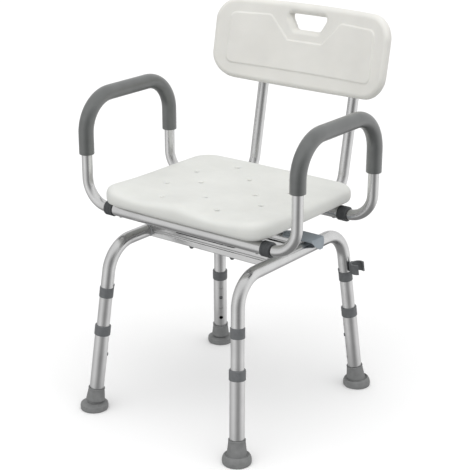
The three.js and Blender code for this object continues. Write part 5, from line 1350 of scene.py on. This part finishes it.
def shades(tree, stops):
    """A ramp of greys, each stop a place from 0 to 1 and a grey."""
    ramp = node(tree, "ShaderNodeValToRGB")
    ramp.color_ramp.elements.remove(ramp.color_ramp.elements[1])
    for index, (place, grey) in enumerate(stops):
        stop = ramp.color_ramp.elements[0] if index == 0 else ramp.color_ramp.elements.new(place)
        stop.position, stop.color = place, linear(grey)
    return ramp


def mixed(tree, first, second, share):
    """A colour that goes over to a second one, by a share from 0 to 1."""
    mix = node(tree, "ShaderNodeMix", {"data_type": "RGBA"})
    tree.links.new(share, mix.inputs[0])
    tree.links.new(first, mix.inputs[6])
    mix.inputs[7].default_value = linear(second)
    return mix.outputs[2]


WALLS = [
    (0, "#c0c0c0"), (0.21, "#fafafa"), (0.35, "#9c9c9c"), (0.4, "#888888"), (0.45, "#a8a8a8"),
    (0.52, "#e8e8e8"), (0.6, "#ffffff"), (1, "#c0c0c0"),
]


def studio_room():
    """Pale all round. What the tubes mirror has darker places, one of them where the camera stands."""
    room = bpy.data.worlds.new("studio_room")
    room.use_nodes = True
    tree = room.node_tree
    way = node(tree, "ShaderNodeTexCoord").outputs["Generated"]
    turn = node(tree, "ShaderNodeTexGradient", {"gradient_type": "RADIAL"}, {"Vector": way})
    walls = shades(tree, WALLS)
    tree.links.new(turn.outputs["Fac"], walls.inputs["Fac"])
    height = node(tree, "ShaderNodeSeparateXYZ", links={"Vector": way}).outputs["Z"]
    with_ceiling = mixed(tree, walls.outputs["Color"], "#ececec", spread(tree, height, 0, 1, 0.3, 0.8))
    with_floor = mixed(tree, with_ceiling, "#8e8e8e", spread(tree, height, 1, 0, -0.8, -0.45))
    mirrored = node(tree, "ShaderNodeBackground", links={"Color": with_floor})
    with_bounce = mixed(tree, with_ceiling, "#eeeeee", spread(tree, height, 1, 0, -0.6, -0.1))
    pale = node(tree, "ShaderNodeBackground", {"Strength": 0.93}, {"Color": with_bounce})
    seen = node(tree, "ShaderNodeLightPath")
    both = node(tree, "ShaderNodeMixShader", links={"Fac": seen.outputs["Is Glossy Ray"]})
    tree.links.new(pale.outputs["Background"], both.inputs[1])
    tree.links.new(mirrored.outputs["Background"], both.inputs[2])
    white = node(tree, "ShaderNodeBackground", {"Color": linear("#ffffff"), "Strength": 1.1})
    behind = node(tree, "ShaderNodeMixShader", {}, {"Fac": seen.outputs["Is Camera Ray"]})
    tree.links.new(both.outputs["Shader"], behind.inputs[1])
    tree.links.new(white.outputs["Background"], behind.inputs[2])
    tree.links.new(behind.outputs["Shader"], tree.nodes["World Output"].inputs["Surface"])
    bpy.context.scene.world = room


studio_room()
bpy.context.scene.view_settings.view_transform = "Standard"

# %% [markdown]
# The camera stands where the photographer's did: found from the seat's own straight lines, about
# 2.6 m away with a long lens, so the legs hardly draw together. The shift holds the seat where the
# picture has it.

# %% Camera
def photo_camera(at, azimuth, elevation, lens, shift):
    data = bpy.data.cameras.new("photo_camera")
    data.sensor_width, data.lens = 36, lens
    data.shift_x, data.shift_y = shift
    data.clip_start, data.clip_end = 0.1, 80
    camera = bpy.data.objects.new("photo_camera", data)
    camera.location = at
    camera.rotation_euler = (-towards(azimuth, elevation)).to_track_quat("-Z", "Y").to_euler()
    bpy.context.scene.collection.objects.link(camera)
    bpy.context.scene.camera = camera


photo_camera((1.4749, -1.9456, 1.2217), 37.659, 20.897, 100.23, (0.015, 0.0514))
